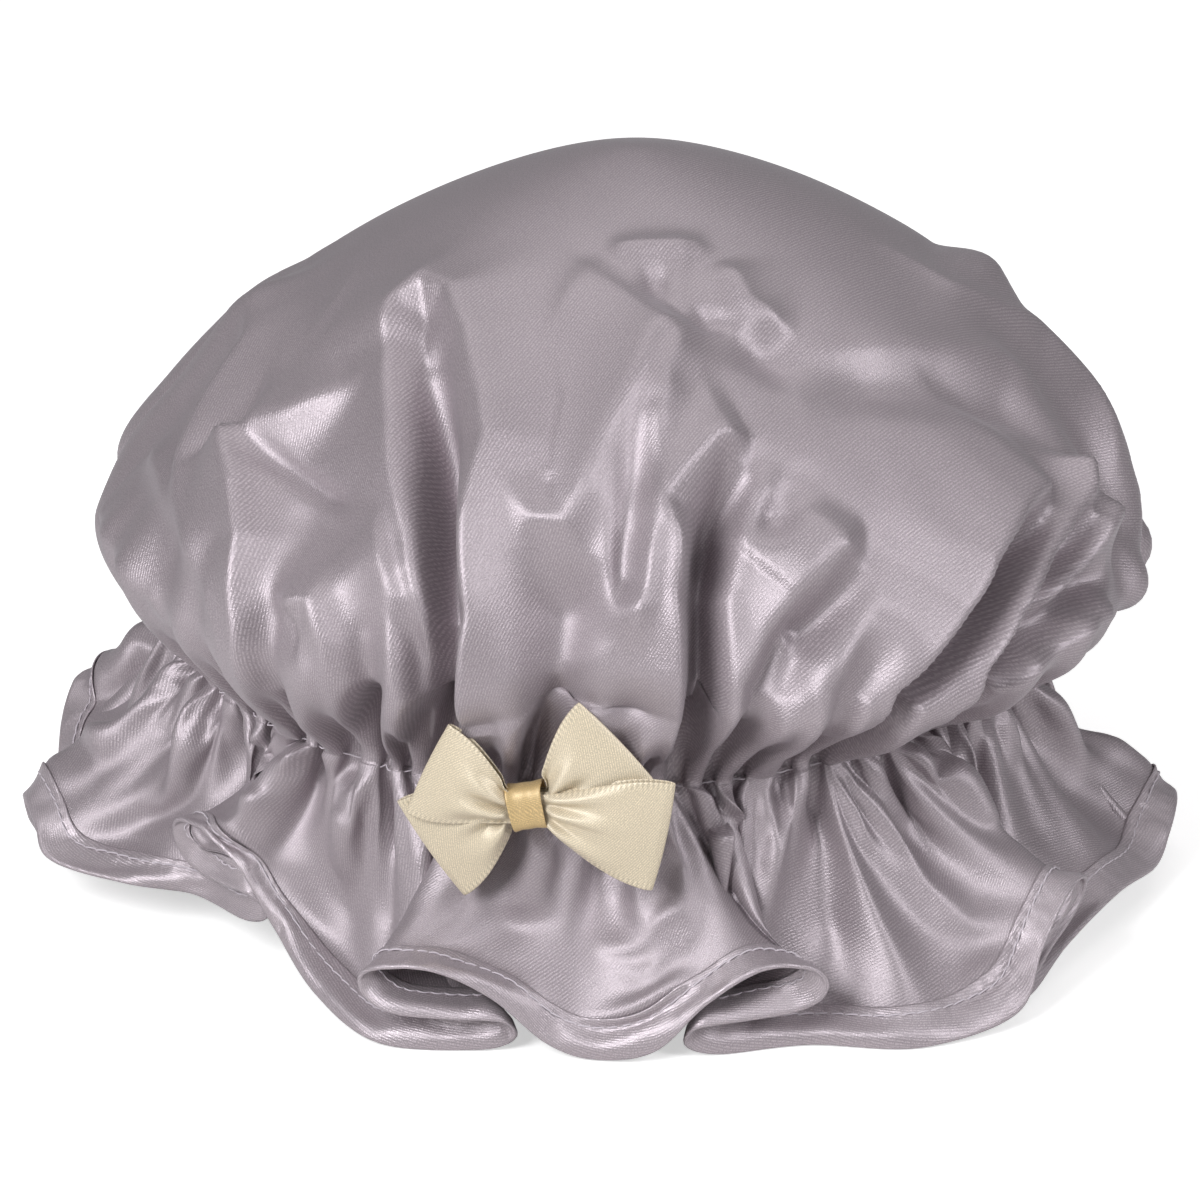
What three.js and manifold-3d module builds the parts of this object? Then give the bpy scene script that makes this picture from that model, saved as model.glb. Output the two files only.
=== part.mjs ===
// Satin sleep cap: a gathered crown and a fluted ruffle that are sewn to one round elastic,
// a folded tape that binds the ruffle's hem, and a ribbon bow tacked on at the front.
// Millimetres, +Z up, the front faces -Y. The cap stands on the lowest stretches of its hem.

import * as THREE from 'three';
import Module from 'manifold-3d';

const wasm = await Module();
wasm.setup();

// The gathering line, where the cloth is sewn to the elastic
const gatherRadius = 90;
const gatherHeight = 52;

// Crown
const crownWidth = 235;
const crownDepth = 226;
const crownWaistHeight = 80;
const crownRise = 79;
const crownShift = 1.5;
const crownLean = 5;
const crownWall = 1;
const gatherDepth = 2.5;

// Ruffle and its hem
const hemRadius = 118;
const curlLength = 34;
const curlLift = 20;
const ruffleSwell = 1;
const ruffleWall = 0.5;

// Folded tape that binds the hem, and the sewing threads
const tapeWidth = 9.3;
const tapeWall = 0.4;
const tapeGap = 0.4;
const edgeGap = 1.4;
const stitchInset = 2;
const threadWidth = 0.35;
const threadGap = 0.3;
const restCut = 0.5;

// Elastic inside the gathering line
const elasticWidth = 6;
const elasticWall = 0.8;
const elasticLap = 14;

// Ribbon bow
const bowRoom = 12;
const bowLift = 0.5;
const ribbonWall = 0.4;
const pinchWidth = 7;
const layerStep = 1.3;
const frontPuff = 2.4;
const backPuff = 0.8;
const knotWidth = 7;
const knotWall = 0.5;
const knotCornerShare = 1.2;
const tackWidth = 1.4;

// Clear gap between pieces that touch on the real cap
const clearance = 0.3;

// How finely each piece is divided
const crownColumns = 72;
const ringSteps = 72;
const petalSteps = 10;
const knotSteps = 20;
const tackSides = 6;

const bowAzimuth = THREE.MathUtils.degToRad(-98);
const bowTilt = THREE.MathUtils.degToRad(10);

// Fullness of the crown's curve: below its waist, and above it on the left and on the right.
// 2 is round, less is flatter and more conical, more is squarer.
const lowerFullness = 2.6;
const leftFullness = 1.5;
const rightFullness = 1.65;

// Heights of the crown's rows, from -1 at the gathering line through 0 at the waist to 1 at the top
const crownRowShares = [0.82, 0.62, 0.44, 0.26, 0.08, -0.24, -0.6, -1];

// The crown's main folds: azimuth and half width as shares of a turn from the right-hand side,
// depth as a share of the crown's overhang past the gathering line (inwards is negative), and the
// share of the height where the fold fades out
const crownFoldShares = [
  [-0.272, 0.070, -0.97, 0.62],
  [-0.318, 0.034, -0.30, 0.85],
  [-0.385, 0.030, 0.25, 0.55],
  [-0.350, 0.028, -0.24, 0.45],
  [-0.440, 0.035, -0.26, 0.50],
  [-0.228, 0.024, 0.23, 0.70],
  [-0.190, 0.026, -0.30, 0.65],
  [-0.150, 0.030, 0.24, 0.60],
  [-0.100, 0.028, -0.20, 0.50],
  [-0.050, 0.032, 0.20, 0.45],
  [0.030, 0.070, 0.26, 0.80],
  [0.140, 0.030, -0.26, 0.50],
  [0.200, 0.035, 0.23, 0.55],
  [0.265, 0.032, -0.31, 0.60],
  [0.330, 0.035, 0.22, 0.50],
  [0.395, 0.030, -0.25, 0.55],
  [0.450, 0.030, 0.15, 0.45]
];
const gatherCount = 18;
const gatherReachShare = 0.35;

// The shortest a mitred normal's bend may count as
const mitreLimitShare = 0.8;

// The ruffle's flutes: azimuth as a share of a turn, the way the curl leans along the hem,
// its length, its lift and the hem's radius, each as a share of the named size
const fluteShares = [
  [-0.470, -1, 0.75, 0.80, 1.12],
  [-0.393, -1, 0.90, 1.00, 0.91],
  [-0.293, -1, 0.95, 1.00, 0.95],
  [-0.209, 1, 0.90, 1.00, 0.98],
  [-0.114, 1, 0.80, 0.90, 1.07],
  [-0.014, 1, 0.80, 0.80, 1.11],
  [0.085, 1, 0.90, 0.90, 1.03],
  [0.180, 1, 0.95, 1.00, 0.99],
  [0.300, -1, 0.95, 1.00, 1.00],
  [0.378, -1, 0.90, 0.90, 1.02],
  [0.453, -1, 0.80, 1.00, 1.08]
];

// One curl of the hem, traced towards the side that it leans to: along the hem, outwards and up.
// Along and outwards are shares of the curl's length, and up is a share of its lift.
const curlShares = [
  [-0.60, 0.02, 0.14],
  [-0.25, 0.06, 0.68],
  [0.10, 0.08, 1.00],
  [0.40, 0.08, 0.98],
  [0.56, 0.07, 0.80],
  [0.54, 0.05, 0.58],
  [0.36, 0.03, 0.45],
  [0.04, 0.01, 0.40],
  [-0.25, 0.03, 0.39],
  [-0.35, -0.01, 0.30],
  [-0.36, -0.06, 0.10],
  [-0.12, -0.05, 0.00],
  [0.50, -0.04, 0.00]
];

// The bow's two loops. Each petal has the direction that it points in, as a share of a turn,
// its length and the width of its end in millimetres.
const frontPetals = {
  left: { turnShare: 0.439, length: 22, width: 19 },
  right: { turnShare: -0.031, length: 29, width: 25 }
};
const backPetals = {
  left: { turnShare: 0.575, length: 24, width: 24 },
  right: { turnShare: 0.103, length: 23, width: 23 }
};
const ribbonAcrossShares = [-1, -0.35, 0.35, 1];

const satin = new THREE.MeshStandardMaterial({ color: 0xaba4a9, roughness: 0.42, metalness: 0 });
const tape = new THREE.MeshStandardMaterial({ color: 0xada6ac, roughness: 0.4, metalness: 0 });
const thread = new THREE.MeshStandardMaterial({ color: 0xc3bdc4, roughness: 0.6, metalness: 0 });
const elasticCord = new THREE.MeshStandardMaterial({ color: 0xe9e6e4, roughness: 0.85, metalness: 0 });
const ribbon = new THREE.MeshStandardMaterial({ color: 0xdbd3c2, roughness: 0.4, metalness: 0 });
const knotRibbon = new THREE.MeshStandardMaterial({ color: 0xcfb78b, roughness: 0.42, metalness: 0 });

const turn = 2 * Math.PI;
const up = new THREE.Vector3(0, 0, 1);

function makeMesh(name, geometry, material) {
  const mesh = new THREE.Mesh(geometry, material);
  mesh.name = name;
  return mesh;
}

function polar(radius, azimuth, height) {
  return new THREE.Vector3(radius * Math.cos(azimuth), radius * Math.sin(azimuth), height);
}

function outwardAt(azimuth) {
  return polar(1, azimuth, 0);
}

// A hump that is 1 at offset 0 and fades to 0 at offset 1 on both sides
function hump(offset) {
  return Math.abs(offset) < 1 ? Math.cos(offset * Math.PI / 2) ** 2 : 0;
}

// The shortest way round from one azimuth to another
function wrapped(azimuth) {
  return azimuth - turn * Math.round(azimuth / turn);
}

// Adds the two triangles between one stretch of a section and the same stretch of the next one.
// A stretch that rises is split along the other diagonal, so that the two faces of a wall, which
// run down and up, are split alike and never pass through each other.
function addQuad(triangles, here, hereNext, there, thereNext, rises) {
  if (rises) triangles.push(here, hereNext, thereNext, here, thereNext, there);
  else triangles.push(here, hereNext, there, there, hereNext, thereNext);
}

// A closed body from closed sections that stand in a closed row: section i joins section i + 1
// and the last one joins the first. rising lists the stretches of the section that run up.
function sweepClosed(sections, rising = []) {
  const count = sections.length;
  const size = sections[0].length;
  const triangles = [];
  for (let i = 0; i < count; i++) {
    const here = i * size;
    const there = ((i + 1) % count) * size;
    for (let j = 0; j < size; j++) {
      const next = (j + 1) % size;
      addQuad(triangles, here + j, here + next, there + j, there + next, rising.includes(j));
    }
  }
  return geometryFrom(sections.flat(), triangles);
}

// A closed bell from open sections that run down from an outer pole and up to an inner pole
function sweepBell(sections, outerPole, innerPole) {
  const count = sections.length;
  const size = sections[0].length;
  const triangles = [];
  const outer = count * size;
  for (let i = 0; i < count; i++) {
    const here = i * size;
    const there = ((i + 1) % count) * size;
    triangles.push(outer, here, there);
    for (let j = 0; j < size - 1; j++) {
      addQuad(triangles, here + j, here + j + 1, there + j, there + j + 1, j >= size / 2);
    }
    triangles.push(here + size - 1, outer + 1, there + size - 1);
  }
  return geometryFrom([...sections.flat(), outerPole, innerPole], triangles);
}

function geometryFrom(points, triangles) {
  const geometry = new THREE.BufferGeometry().setFromPoints(points);
  geometry.setIndex(triangles);
  geometry.computeVertexNormals();
  return geometry;
}

function solidFrom(geometry) {
  const vertProperties = new Float32Array(geometry.attributes.position.array);
  const triVerts = new Uint32Array(geometry.index.array);
  return new wasm.Manifold(new wasm.Mesh({ numProp: 3, vertProperties, triVerts }));
}

function geometryOf(solid) {
  const mesh = solid.getMesh();
  const points = [];
  for (let i = 0; i < mesh.vertProperties.length; i += mesh.numProp) {
    points.push(new THREE.Vector3().fromArray(mesh.vertProperties, i));
  }
  return geometryFrom(points, Array.from(mesh.triVerts));
}

// A plain ring of a small round section through the given points. Its section is turned by the
// direction away from the Z axis, which the ring never follows.
function threadRing(points) {
  const sections = points.map((point, i) => {
    const along = points[(i + 1) % points.length].clone().sub(points[(i + points.length - 1) % points.length]);
    const upwards = outwardAt(Math.atan2(point.y, point.x)).cross(along).normalize();
    const outwards = along.clone().cross(upwards).normalize();
    return [0, 1, 2].map((corner) => {
      const angle = -turn * corner / 3;
      return point.clone()
        .addScaledVector(outwards, threadWidth / 2 * Math.cos(angle))
        .addScaledVector(upwards, threadWidth / 2 * Math.sin(angle));
    });
  });
  return sweepClosed(sections);
}

// Crown

// How far the main folds and the gathers move the cloth outwards, at a height share from -1 to 1
function crownFold(azimuth, height, overhang) {
  let depth = 0;
  for (const [place, halfWidth, depthShare, reach] of crownFoldShares) {
    const across = hump(wrapped(azimuth - place * turn) / (halfWidth * turn));
    const fade = height < 0 ? 1 : hump(Math.min(1, height / reach));
    depth += depthShare * overhang * across * fade;
  }
  const gatherFade = hump(Math.min(1, Math.max(0, height) / gatherReachShare));
  return depth + gatherDepth * Math.cos(gatherCount * azimuth) * gatherFade;
}

// A point of the crown's outer face. Below the waist and above it the section is a superellipse:
// half width times cosine to the power 2 / fullness, and rise times sine to the same power.
function crownPoint(azimuth, height) {
  const halfWidth = crownWidth * crownDepth / 2
    / Math.hypot(crownDepth * Math.cos(azimuth), crownWidth * Math.sin(azimuth));
  const right = (1 + Math.cos(azimuth)) / 2;
  const upperFullness = leftFullness + (rightFullness - leftFullness) * right;
  const lineAngle = Math.acos((gatherRadius / halfWidth) ** (lowerFullness / 2));
  const drop = (crownWaistHeight - gatherHeight - clearance / 2) / Math.sin(lineAngle) ** (2 / lowerFullness);
  const fullness = height < 0 ? lowerFullness : upperFullness;
  const angle = height < 0 ? -height * lineAngle : height * Math.PI / 2;
  const reach = halfWidth * Math.cos(angle) ** (2 / fullness);
  const climb = Math.sin(angle) ** (2 / fullness);
  const z = crownWaistHeight + (height < 0 ? -drop : crownRise) * climb;
  const overhang = halfWidth - gatherRadius;
  const hold = height < 0 ? (reach - gatherRadius) / overhang : 1;
  const lean = crownLean * Math.max(0, z - gatherHeight) / crownRise;
  const shift = (crownShift + lean) * hold;
  const folded = reach + crownFold(azimuth, height, overhang) * hold;
  return polar(folded, azimuth, z).add(new THREE.Vector3(shift, 0, 0));
}

// The outward normal of each point of a closed grid of columns, from its neighbours. The first
// row leans on the pole and the last row, at the gathering line, is left pointing straight out.
function gridNormals(columns, pole, azimuths) {
  const count = columns.length;
  return columns.map((points, i) => points.map((point, row) => {
    if (row === points.length - 1) return outwardAt(azimuths[i]);
    const before = columns[(i + count - 1) % count][row];
    const after = columns[(i + 1) % count][row];
    const above = row > 0 ? points[row - 1] : pole;
    const down = points[row + 1].clone().sub(above);
    return down.cross(after.clone().sub(before)).normalize();
  }));
}

function makeCrown() {
  const azimuths = Array.from({ length: crownColumns }, (_, i) => turn * i / crownColumns);
  const columns = azimuths.map((azimuth) => crownRowShares.map((height) => crownPoint(azimuth, height)));
  const outerPole = new THREE.Vector3(crownShift + crownLean, 0, crownPoint(0, 1).z);
  const innerPole = outerPole.clone().addScaledVector(up, -crownWall);
  const normals = gridNormals(columns, outerPole, azimuths);
  const sections = columns.map((outer, i) => {
    const inner = outer.map((point, row) => point.clone().addScaledVector(normals[i][row], -crownWall));
    return [...outer, ...inner.reverse()];
  });
  return sweepBell(sections, outerPole, innerPole);
}

// Ruffle

// The hem's points over one flute, from the trough before it to the curl's last point
function hemPoints(flute, previous) {
  const [place, lean, lengthShare, liftShare, radiusShare] = flute;
  const radius = hemRadius * radiusShare;
  const length = curlLength * lengthShare;
  const points = curlShares.map(([along, out, lift]) => {
    const azimuth = place * turn + lean * along * length / radius;
    return polar(radius + out * length, azimuth, lift * curlLift * liftShare);
  });
  if (lean < 0) points.reverse();
  return [troughPoint(previous, flute), ...points];
}

// The hem's lowest place between two flutes
function troughPoint(flute, following) {
  const place = troughAzimuth(flute, following);
  return polar(hemRadius * (flute[4] + following[4]) / 2, place, 0);
}

function troughAzimuth(flute, following) {
  return flute[0] * turn + wrapped((following[0] - flute[0]) * turn) / 2;
}

// The ruffle's columns: where each one leaves the gathering line and where it meets the hem.
// Between two troughs they leave the gathering line spaced as they are along the hem.
function ruffleColumns() {
  const columns = [];
  const count = fluteShares.length;
  fluteShares.forEach((flute, index) => {
    const previous = fluteShares[(index + count - 1) % count];
    const following = fluteShares[(index + 1) % count];
    const points = hemPoints(flute, previous);
    const start = troughAzimuth(previous, flute);
    const span = wrapped(troughAzimuth(flute, following) - start);
    const reached = [0];
    [...points.slice(1), troughPoint(flute, following)].forEach((point, i) => {
      reached.push(reached[i] + point.distanceTo(points[i]));
    });
    points.forEach((hem, i) => {
      const azimuth = start + span * reached[i] / reached[points.length];
      columns.push({ azimuth, top: polar(gatherRadius, azimuth, gatherHeight - clearance / 2), hem });
    });
  });
  return columns;
}

// A point of the ruffle's middle face, from 0 at the gathering line to 1 at the hem:
// a straight line between the two, swollen outwards and up halfway
function rufflePoint(column, share) {
  const swell = ruffleSwell * Math.sin(Math.PI * share);
  return column.top.clone().lerp(column.hem, share)
    .addScaledVector(outwardAt(column.azimuth), swell)
    .addScaledVector(up, swell);
}

// Two of the ruffle's rows as shares of the way to the hem: halfway down, and at the tape's edge
function ruffleRows(column) {
  const fall = column.top.distanceTo(column.hem);
  const tapeTop = 1 - tapeWidth / fall;
  return { middle: tapeTop / 2, tapeTop };
}

// The outward normal at a column's point. It is longer where the row of neighbours bends, as a
// mitre is, so that walls and gaps keep their thickness round the curls.
function mitredNormal(before, point, after, down) {
  const arriving = point.clone().sub(before).normalize();
  const leaving = after.clone().sub(point).normalize();
  const bend = arriving.add(leaving).length() / 2;
  const normal = down.clone().cross(after.clone().sub(before)).normalize();
  return normal.divideScalar(Math.max(bend, mitreLimitShare));
}

// Each column's points and outward normals. The tape's stretch is straight from its upper edge to
// the hem, so that the tape and its threads can lie on the same straight lines.
function ruffleGrid() {
  const columns = ruffleColumns();
  const rows = columns.map((column) => {
    const { middle, tapeTop } = ruffleRows(column);
    return [column.top, rufflePoint(column, middle), rufflePoint(column, tapeTop), column.hem];
  });
  const count = columns.length;
  return columns.map((column, i) => {
    const before = rows[(i + count - 1) % count];
    const after = rows[(i + 1) % count];
    const normals = rows[i].map((point, row) => {
      if (row === 0) return outwardAt(column.azimuth);
      const down = rows[i][Math.min(row + 1, 3)].clone().sub(rows[i][row - 1]);
      return mitredNormal(before[row], point, after[row], down);
    });
    const [top, middle, tapeTop, hem] = rows[i];
    return { top, middle, tapeTop, hem, normals };
  });
}

// A point and normal on the tape's straight stretch, a given length up from the hem
function tapeSpot(column, length) {
  const share = length / column.tapeTop.distanceTo(column.hem);
  return {
    point: column.hem.clone().lerp(column.tapeTop, share),
    normal: column.normals[3].clone().lerp(column.normals[2], share)
  };
}

function makeRuffle(grid) {
  const half = ruffleWall / 2;
  const sections = grid.map((column) => {
    const edge = tapeSpot(column, tapeWall + edgeGap);
    const points = [column.top, column.middle, column.tapeTop, edge.point];
    const normals = [column.normals[0], column.normals[1], column.normals[2], edge.normal];
    const outer = points.map((point, row) => point.clone().addScaledVector(normals[row], half));
    const inner = points.map((point, row) => point.clone().addScaledVector(normals[row], -half));
    return [...outer, ...inner.reverse()];
  });
  return sweepClosed(sections, [4, 5, 6]);
}

// The tape is a U round the ruffle's edge. It is cut flat where it stands.
function makeBinding(grid) {
  const near = ruffleWall / 2 + tapeGap;
  const far = near + tapeWall;
  const sections = grid.map((column) => {
    const top = tapeSpot(column, tapeWidth);
    const floor = tapeSpot(column, tapeWall);
    const hem = tapeSpot(column, 0);
    return [
      top.point.clone().addScaledVector(top.normal, far),
      hem.point.clone().addScaledVector(hem.normal, far),
      hem.point.clone().addScaledVector(hem.normal, -far),
      top.point.clone().addScaledVector(top.normal, -far),
      top.point.clone().addScaledVector(top.normal, -near),
      floor.point.clone().addScaledVector(floor.normal, -near),
      floor.point.clone().addScaledVector(floor.normal, near),
      top.point.clone().addScaledVector(top.normal, near)
    ];
  });
  const solid = solidFrom(sweepClosed(sections, [2, 6]));
  const lowest = solid.boundingBox().min[2];
  const ground = new THREE.BoxGeometry(4 * hemRadius, 4 * hemRadius, 2 * hemRadius);
  ground.translate(0, 0, lowest + restCut - hemRadius);
  return { geometry: geometryOf(solid.subtract(boxSolid(ground))), floor: lowest + restCut };
}

// A box's faces share no corners as it comes, so its eight corners are merged first
function boxSolid(box) {
  const corners = [];
  const triangles = [];
  const places = box.attributes.position;
  for (const index of box.index.array) {
    const corner = new THREE.Vector3().fromBufferAttribute(places, index);
    let found = corners.findIndex((known) => known.distanceTo(corner) < clearance);
    if (found < 0) found = corners.push(corner) - 1;
    triangles.push(found);
  }
  return solidFrom(geometryFrom(corners, triangles));
}

// side is 1 for the needle thread on the outer face and -1 for the bobbin thread inside
function makeHemThread(grid, side) {
  const offset = ruffleWall / 2 + tapeGap + tapeWall + threadGap + threadWidth / 2;
  const spots = grid.map((column) => tapeSpot(column, tapeWidth - stitchInset));
  return threadRing(spots.map((spot) => spot.point.clone().addScaledVector(spot.normal, side * offset)));
}

// Elastic

// A flat band just inside the gathering line, double where its two ends lap at the back
function makeElastic() {
  const outerRadius = gatherRadius - crownWall - clearance;
  const lapAngle = elasticLap / outerRadius;
  const sections = [];
  for (let i = 0; i < ringSteps; i++) {
    const azimuth = turn * i / ringSteps;
    const lapped = Math.abs(wrapped(azimuth - turn / 4)) <= lapAngle / 2;
    const innerRadius = outerRadius - elasticWall * (lapped ? 2 : 1);
    const high = gatherHeight + elasticWidth / 2;
    const low = gatherHeight - elasticWidth / 2;
    sections.push([
      polar(outerRadius, azimuth, high),
      polar(outerRadius, azimuth, low),
      polar(innerRadius, azimuth, low),
      polar(innerRadius, azimuth, high)
    ]);
  }
  return sweepClosed(sections);
}

// The row of stitches through cloth and elastic, seen outside and inside
function makeElasticThread(radius) {
  return threadRing(Array.from({ length: ringSteps }, (_, i) => polar(radius, turn * i / ringSteps, gatherHeight)));
}

// Bow, in its own frame: X to the right, Z up and -Y outwards

// A petal's half width at a share of its length: pinched in the knot and full at its end
function petalHalfWidth(petal, share) {
  const open = Math.max(0, share * petal.length - knotWidth / 2) / (petal.length - knotWidth / 2);
  return THREE.MathUtils.lerp(pinchWidth, petal.width, Math.sin(open * Math.PI / 2)) / 2;
}

// Where one layer of a petal lies: its middle, its direction across and how far out it is.
// It runs level through the knot, and turns to its own direction just outside it.
function petalStation(petal, share, layerOut, puff) {
  const angle = petal.turnShare * turn;
  const side = Math.sign(Math.cos(angle));
  const level = Math.min(share * petal.length, knotWidth / 2 + clearance);
  const free = share * petal.length - level;
  const outwards = layerOut + puff * Math.sin(Math.PI * free / (petal.length - level));
  const turned = new THREE.Vector3(-Math.sin(angle), 0, Math.cos(angle)).multiplyScalar(side);
  return {
    middle: new THREE.Vector3(side * level + free * Math.cos(angle), -outwards, free * Math.sin(angle)),
    across: up.clone().lerp(turned, Math.min(1, free / pinchWidth)).normalize(),
    halfWidth: petalHalfWidth(petal, share)
  };
}

// One petal's stations, out along one layer, round its end and back along the other layer.
// Each layer is { out, puff }: how far out it lies in the knot, and how far it swells beyond it.
function petalStations(petal, leaving, returning) {
  const shares = Array.from({ length: petalSteps - 1 }, (_, i) => (i + 1) / petalSteps);
  const endStep = ribbonWall * Math.sign(leaving.out - returning.out);
  const endOut = (leaving.out + returning.out) / 2;
  return [
    ...shares.map((share) => petalStation(petal, share, leaving.out, leaving.puff)),
    petalStation(petal, 1, endOut + endStep, 0),
    petalStation(petal, 1, endOut - endStep, 0),
    ...shares.reverse().map((share) => petalStation(petal, share, returning.out, returning.puff))
  ];
}

// One ribbon loop, pressed flat: out along the front of the right petal and back behind it, then
// out behind the left petal and back along its front
function makeLoop(petals, front, back) {
  const stations = [
    petalStation(petals.right, 0, front.out, 0),
    ...petalStations(petals.right, front, back),
    petalStation(petals.right, 0, back.out, 0),
    ...petalStations(petals.left, back, front)
  ];
  return sweepClosed(stations.map((station, i) => ribbonSection(stations, i)));
}

// The ribbon's section at a station: four points across its outer face and four back across the
// inner one, half a wall to each side of the loop's middle line
function ribbonSection(stations, index) {
  const count = stations.length;
  const { middle, across, halfWidth } = stations[index];
  const along = stations[(index + 1) % count].middle.clone()
    .sub(stations[(index + count - 1) % count].middle);
  const normal = new THREE.Vector3().crossVectors(across, along).normalize();
  const face = (share, side) => middle.clone()
    .addScaledVector(across, share * halfWidth)
    .addScaledVector(normal, side * ribbonWall / 2);
  const outer = ribbonAcrossShares.map((share) => face(share, -1));
  const inner = ribbonAcrossShares.map((share) => face(share, 1));
  return [...outer.reverse(), ...inner];
}

// How far out the bow is when a low petal's corner leans on the ridge of the flute under it
function leaningRadius(petal, flute) {
  const angle = petal.turnShare * turn;
  const sideways = petal.length * Math.cos(angle);
  const drop = Math.abs(petal.length * Math.sin(angle)) + Math.abs(petal.width / 2 * Math.cos(angle));
  const out = Math.max(...curlShares.map((curl) => curl[1]));
  const crest = hemRadius * flute[4] + out * curlLength * flute[2];
  const ridge = THREE.MathUtils.lerp(gatherRadius, crest, drop / (gatherHeight - curlLift * flute[3]));
  const back = ridge + ruffleSwell + ruffleWall / 2 + clearance + layerStep * 1.5 + ribbonWall / 2;
  return Math.sqrt(back ** 2 - sideways ** 2) - drop * Math.sin(bowTilt);
}

// The stitches that hold the knot to the gathering line, one short bar from cloth to knot
function makeTack() {
  const near = gatherRadius + threadReach + threadWidth / 2 + clearance;
  const far = bowRadius - knotOuterDepth() - clearance;
  const bar = new THREE.CylinderGeometry(tackWidth / 2, tackWidth / 2, far - near, tackSides);
  bar.rotateZ(-turn / 4);
  bar.translate((near + far) / 2, 0, gatherHeight + bowLift);
  return bar.rotateZ(bowAzimuth);
}

function knotInnerDepth() {
  return (layerStep * 1.5 + ribbonWall / 2 + clearance) * knotCornerShare;
}

function knotOuterDepth() {
  return knotInnerDepth() + knotWall;
}

// The short band round the middle of both loops: an upright ring with squared corners
function makeKnot() {
  const halfHeight = (pinchWidth / 2 + clearance) * knotCornerShare;
  const halfDepth = knotInnerDepth();
  const squared = (value) => Math.sign(value) * Math.sqrt(Math.abs(value));
  const sections = [];
  for (let i = 0; i < knotSteps; i++) {
    const angle = turn * i / knotSteps;
    const spot = (side, wall) => new THREE.Vector3(
      side * knotWidth / 2,
      -squared(Math.sin(angle)) * (halfDepth + wall),
      squared(Math.cos(angle)) * (halfHeight + wall)
    );
    sections.push([spot(1, knotWall), spot(-1, knotWall), spot(-1, 0), spot(1, 0)]);
  }
  return sweepClosed(sections);
}

const threadReach = crownWall / 2 + clearance + threadWidth / 2;
const bowRadius = Math.max(gatherRadius + bowRoom, leaningRadius(backPetals.left, fluteShares[2]));
const bobbinRadius = gatherRadius - crownWall - clearance - elasticWall * 2 - clearance - threadWidth / 2;
const frontFace = { out: layerStep * 1.5, puff: frontPuff };
const frontBacking = { out: layerStep * 0.5, puff: 0 };
const backFace = { out: -layerStep * 0.5, puff: 0 };
const backBacking = { out: -layerStep * 1.5, puff: -backPuff };
const grid = ruffleGrid();
const binding = makeBinding(grid);

const cap = new THREE.Group();
cap.add(makeMesh('crown', makeCrown(), satin));
cap.add(makeMesh('ruffle', makeRuffle(grid), satin));
cap.add(makeMesh('hem_binding', binding.geometry, tape));
cap.add(makeMesh('hem_needle_thread', makeHemThread(grid, 1), thread));
cap.add(makeMesh('hem_bobbin_thread', makeHemThread(grid, -1), thread));
cap.add(makeMesh('elastic_band', makeElastic(), elasticCord));
cap.add(makeMesh('elastic_needle_thread', makeElasticThread(gatherRadius + threadReach), thread));
cap.add(makeMesh('elastic_bobbin_thread', makeElasticThread(bobbinRadius), thread));
cap.add(makeMesh('bow_tack_thread', makeTack(), thread));

const bow = new THREE.Group();
bow.add(makeMesh('bow_front_ribbon', makeLoop(frontPetals, frontFace, frontBacking), ribbon));
bow.add(makeMesh('bow_back_ribbon', makeLoop(backPetals, backFace, backBacking), ribbon));
bow.add(makeMesh('bow_knot_band', makeKnot(), knotRibbon));
bow.rotation.set(-bowTilt, 0, bowAzimuth + turn / 4, 'ZXY');
bow.position.copy(polar(bowRadius, bowAzimuth, gatherHeight + bowLift));
cap.add(bow);

// The origin is under the middle of the cap, on the plane that it stands on
const extent = new THREE.Box3().setFromObject(cap);
cap.position.set(-(extent.min.x + extent.max.x) / 2, -(extent.min.y + extent.max.y) / 2, -binding.floor);

export default cap;
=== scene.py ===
# %% [markdown]
# # A satin sleep cap
#
# The cap is one circle of satin, gathered onto an elastic. What is inside the gathering line puffs
# up into the crown, and what is outside it falls into the ruffle. A folded tape binds the hem, and
# a bow of two crossed ribbon loops sits at the front.
#
# All lengths are in metres. The front faces -Y, and +Z is up.

import bpy
import numpy as np
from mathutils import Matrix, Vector


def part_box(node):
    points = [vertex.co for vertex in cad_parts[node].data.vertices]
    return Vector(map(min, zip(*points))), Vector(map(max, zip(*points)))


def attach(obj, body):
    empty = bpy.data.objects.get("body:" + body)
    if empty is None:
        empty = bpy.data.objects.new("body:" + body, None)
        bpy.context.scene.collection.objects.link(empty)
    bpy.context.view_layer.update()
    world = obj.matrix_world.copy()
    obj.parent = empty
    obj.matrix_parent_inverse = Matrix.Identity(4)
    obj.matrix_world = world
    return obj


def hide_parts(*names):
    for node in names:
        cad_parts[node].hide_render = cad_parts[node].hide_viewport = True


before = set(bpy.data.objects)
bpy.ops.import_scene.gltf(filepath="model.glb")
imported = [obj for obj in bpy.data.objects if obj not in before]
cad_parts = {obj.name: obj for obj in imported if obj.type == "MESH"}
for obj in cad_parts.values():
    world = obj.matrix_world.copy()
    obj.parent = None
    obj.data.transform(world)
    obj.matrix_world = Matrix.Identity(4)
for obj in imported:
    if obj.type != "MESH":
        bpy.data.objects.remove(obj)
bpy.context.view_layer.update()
scene = bpy.context.scene
MM = 0.001
TURN = 2 * np.pi

# %% [markdown]
# ## Sizes
#
# The elastic's ring gives the place of everything else: the cloth is sewn to it along one line.

# %% Sizes
ring_low, ring_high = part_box("elastic_band")
CENTRE = np.array((ring_low + ring_high) / 2)
GATHER_RADIUS = 90 * MM
FLAT_GATHER = 195 * MM
FLAT_HEM = 259 * MM
GATHERS = 72

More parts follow.
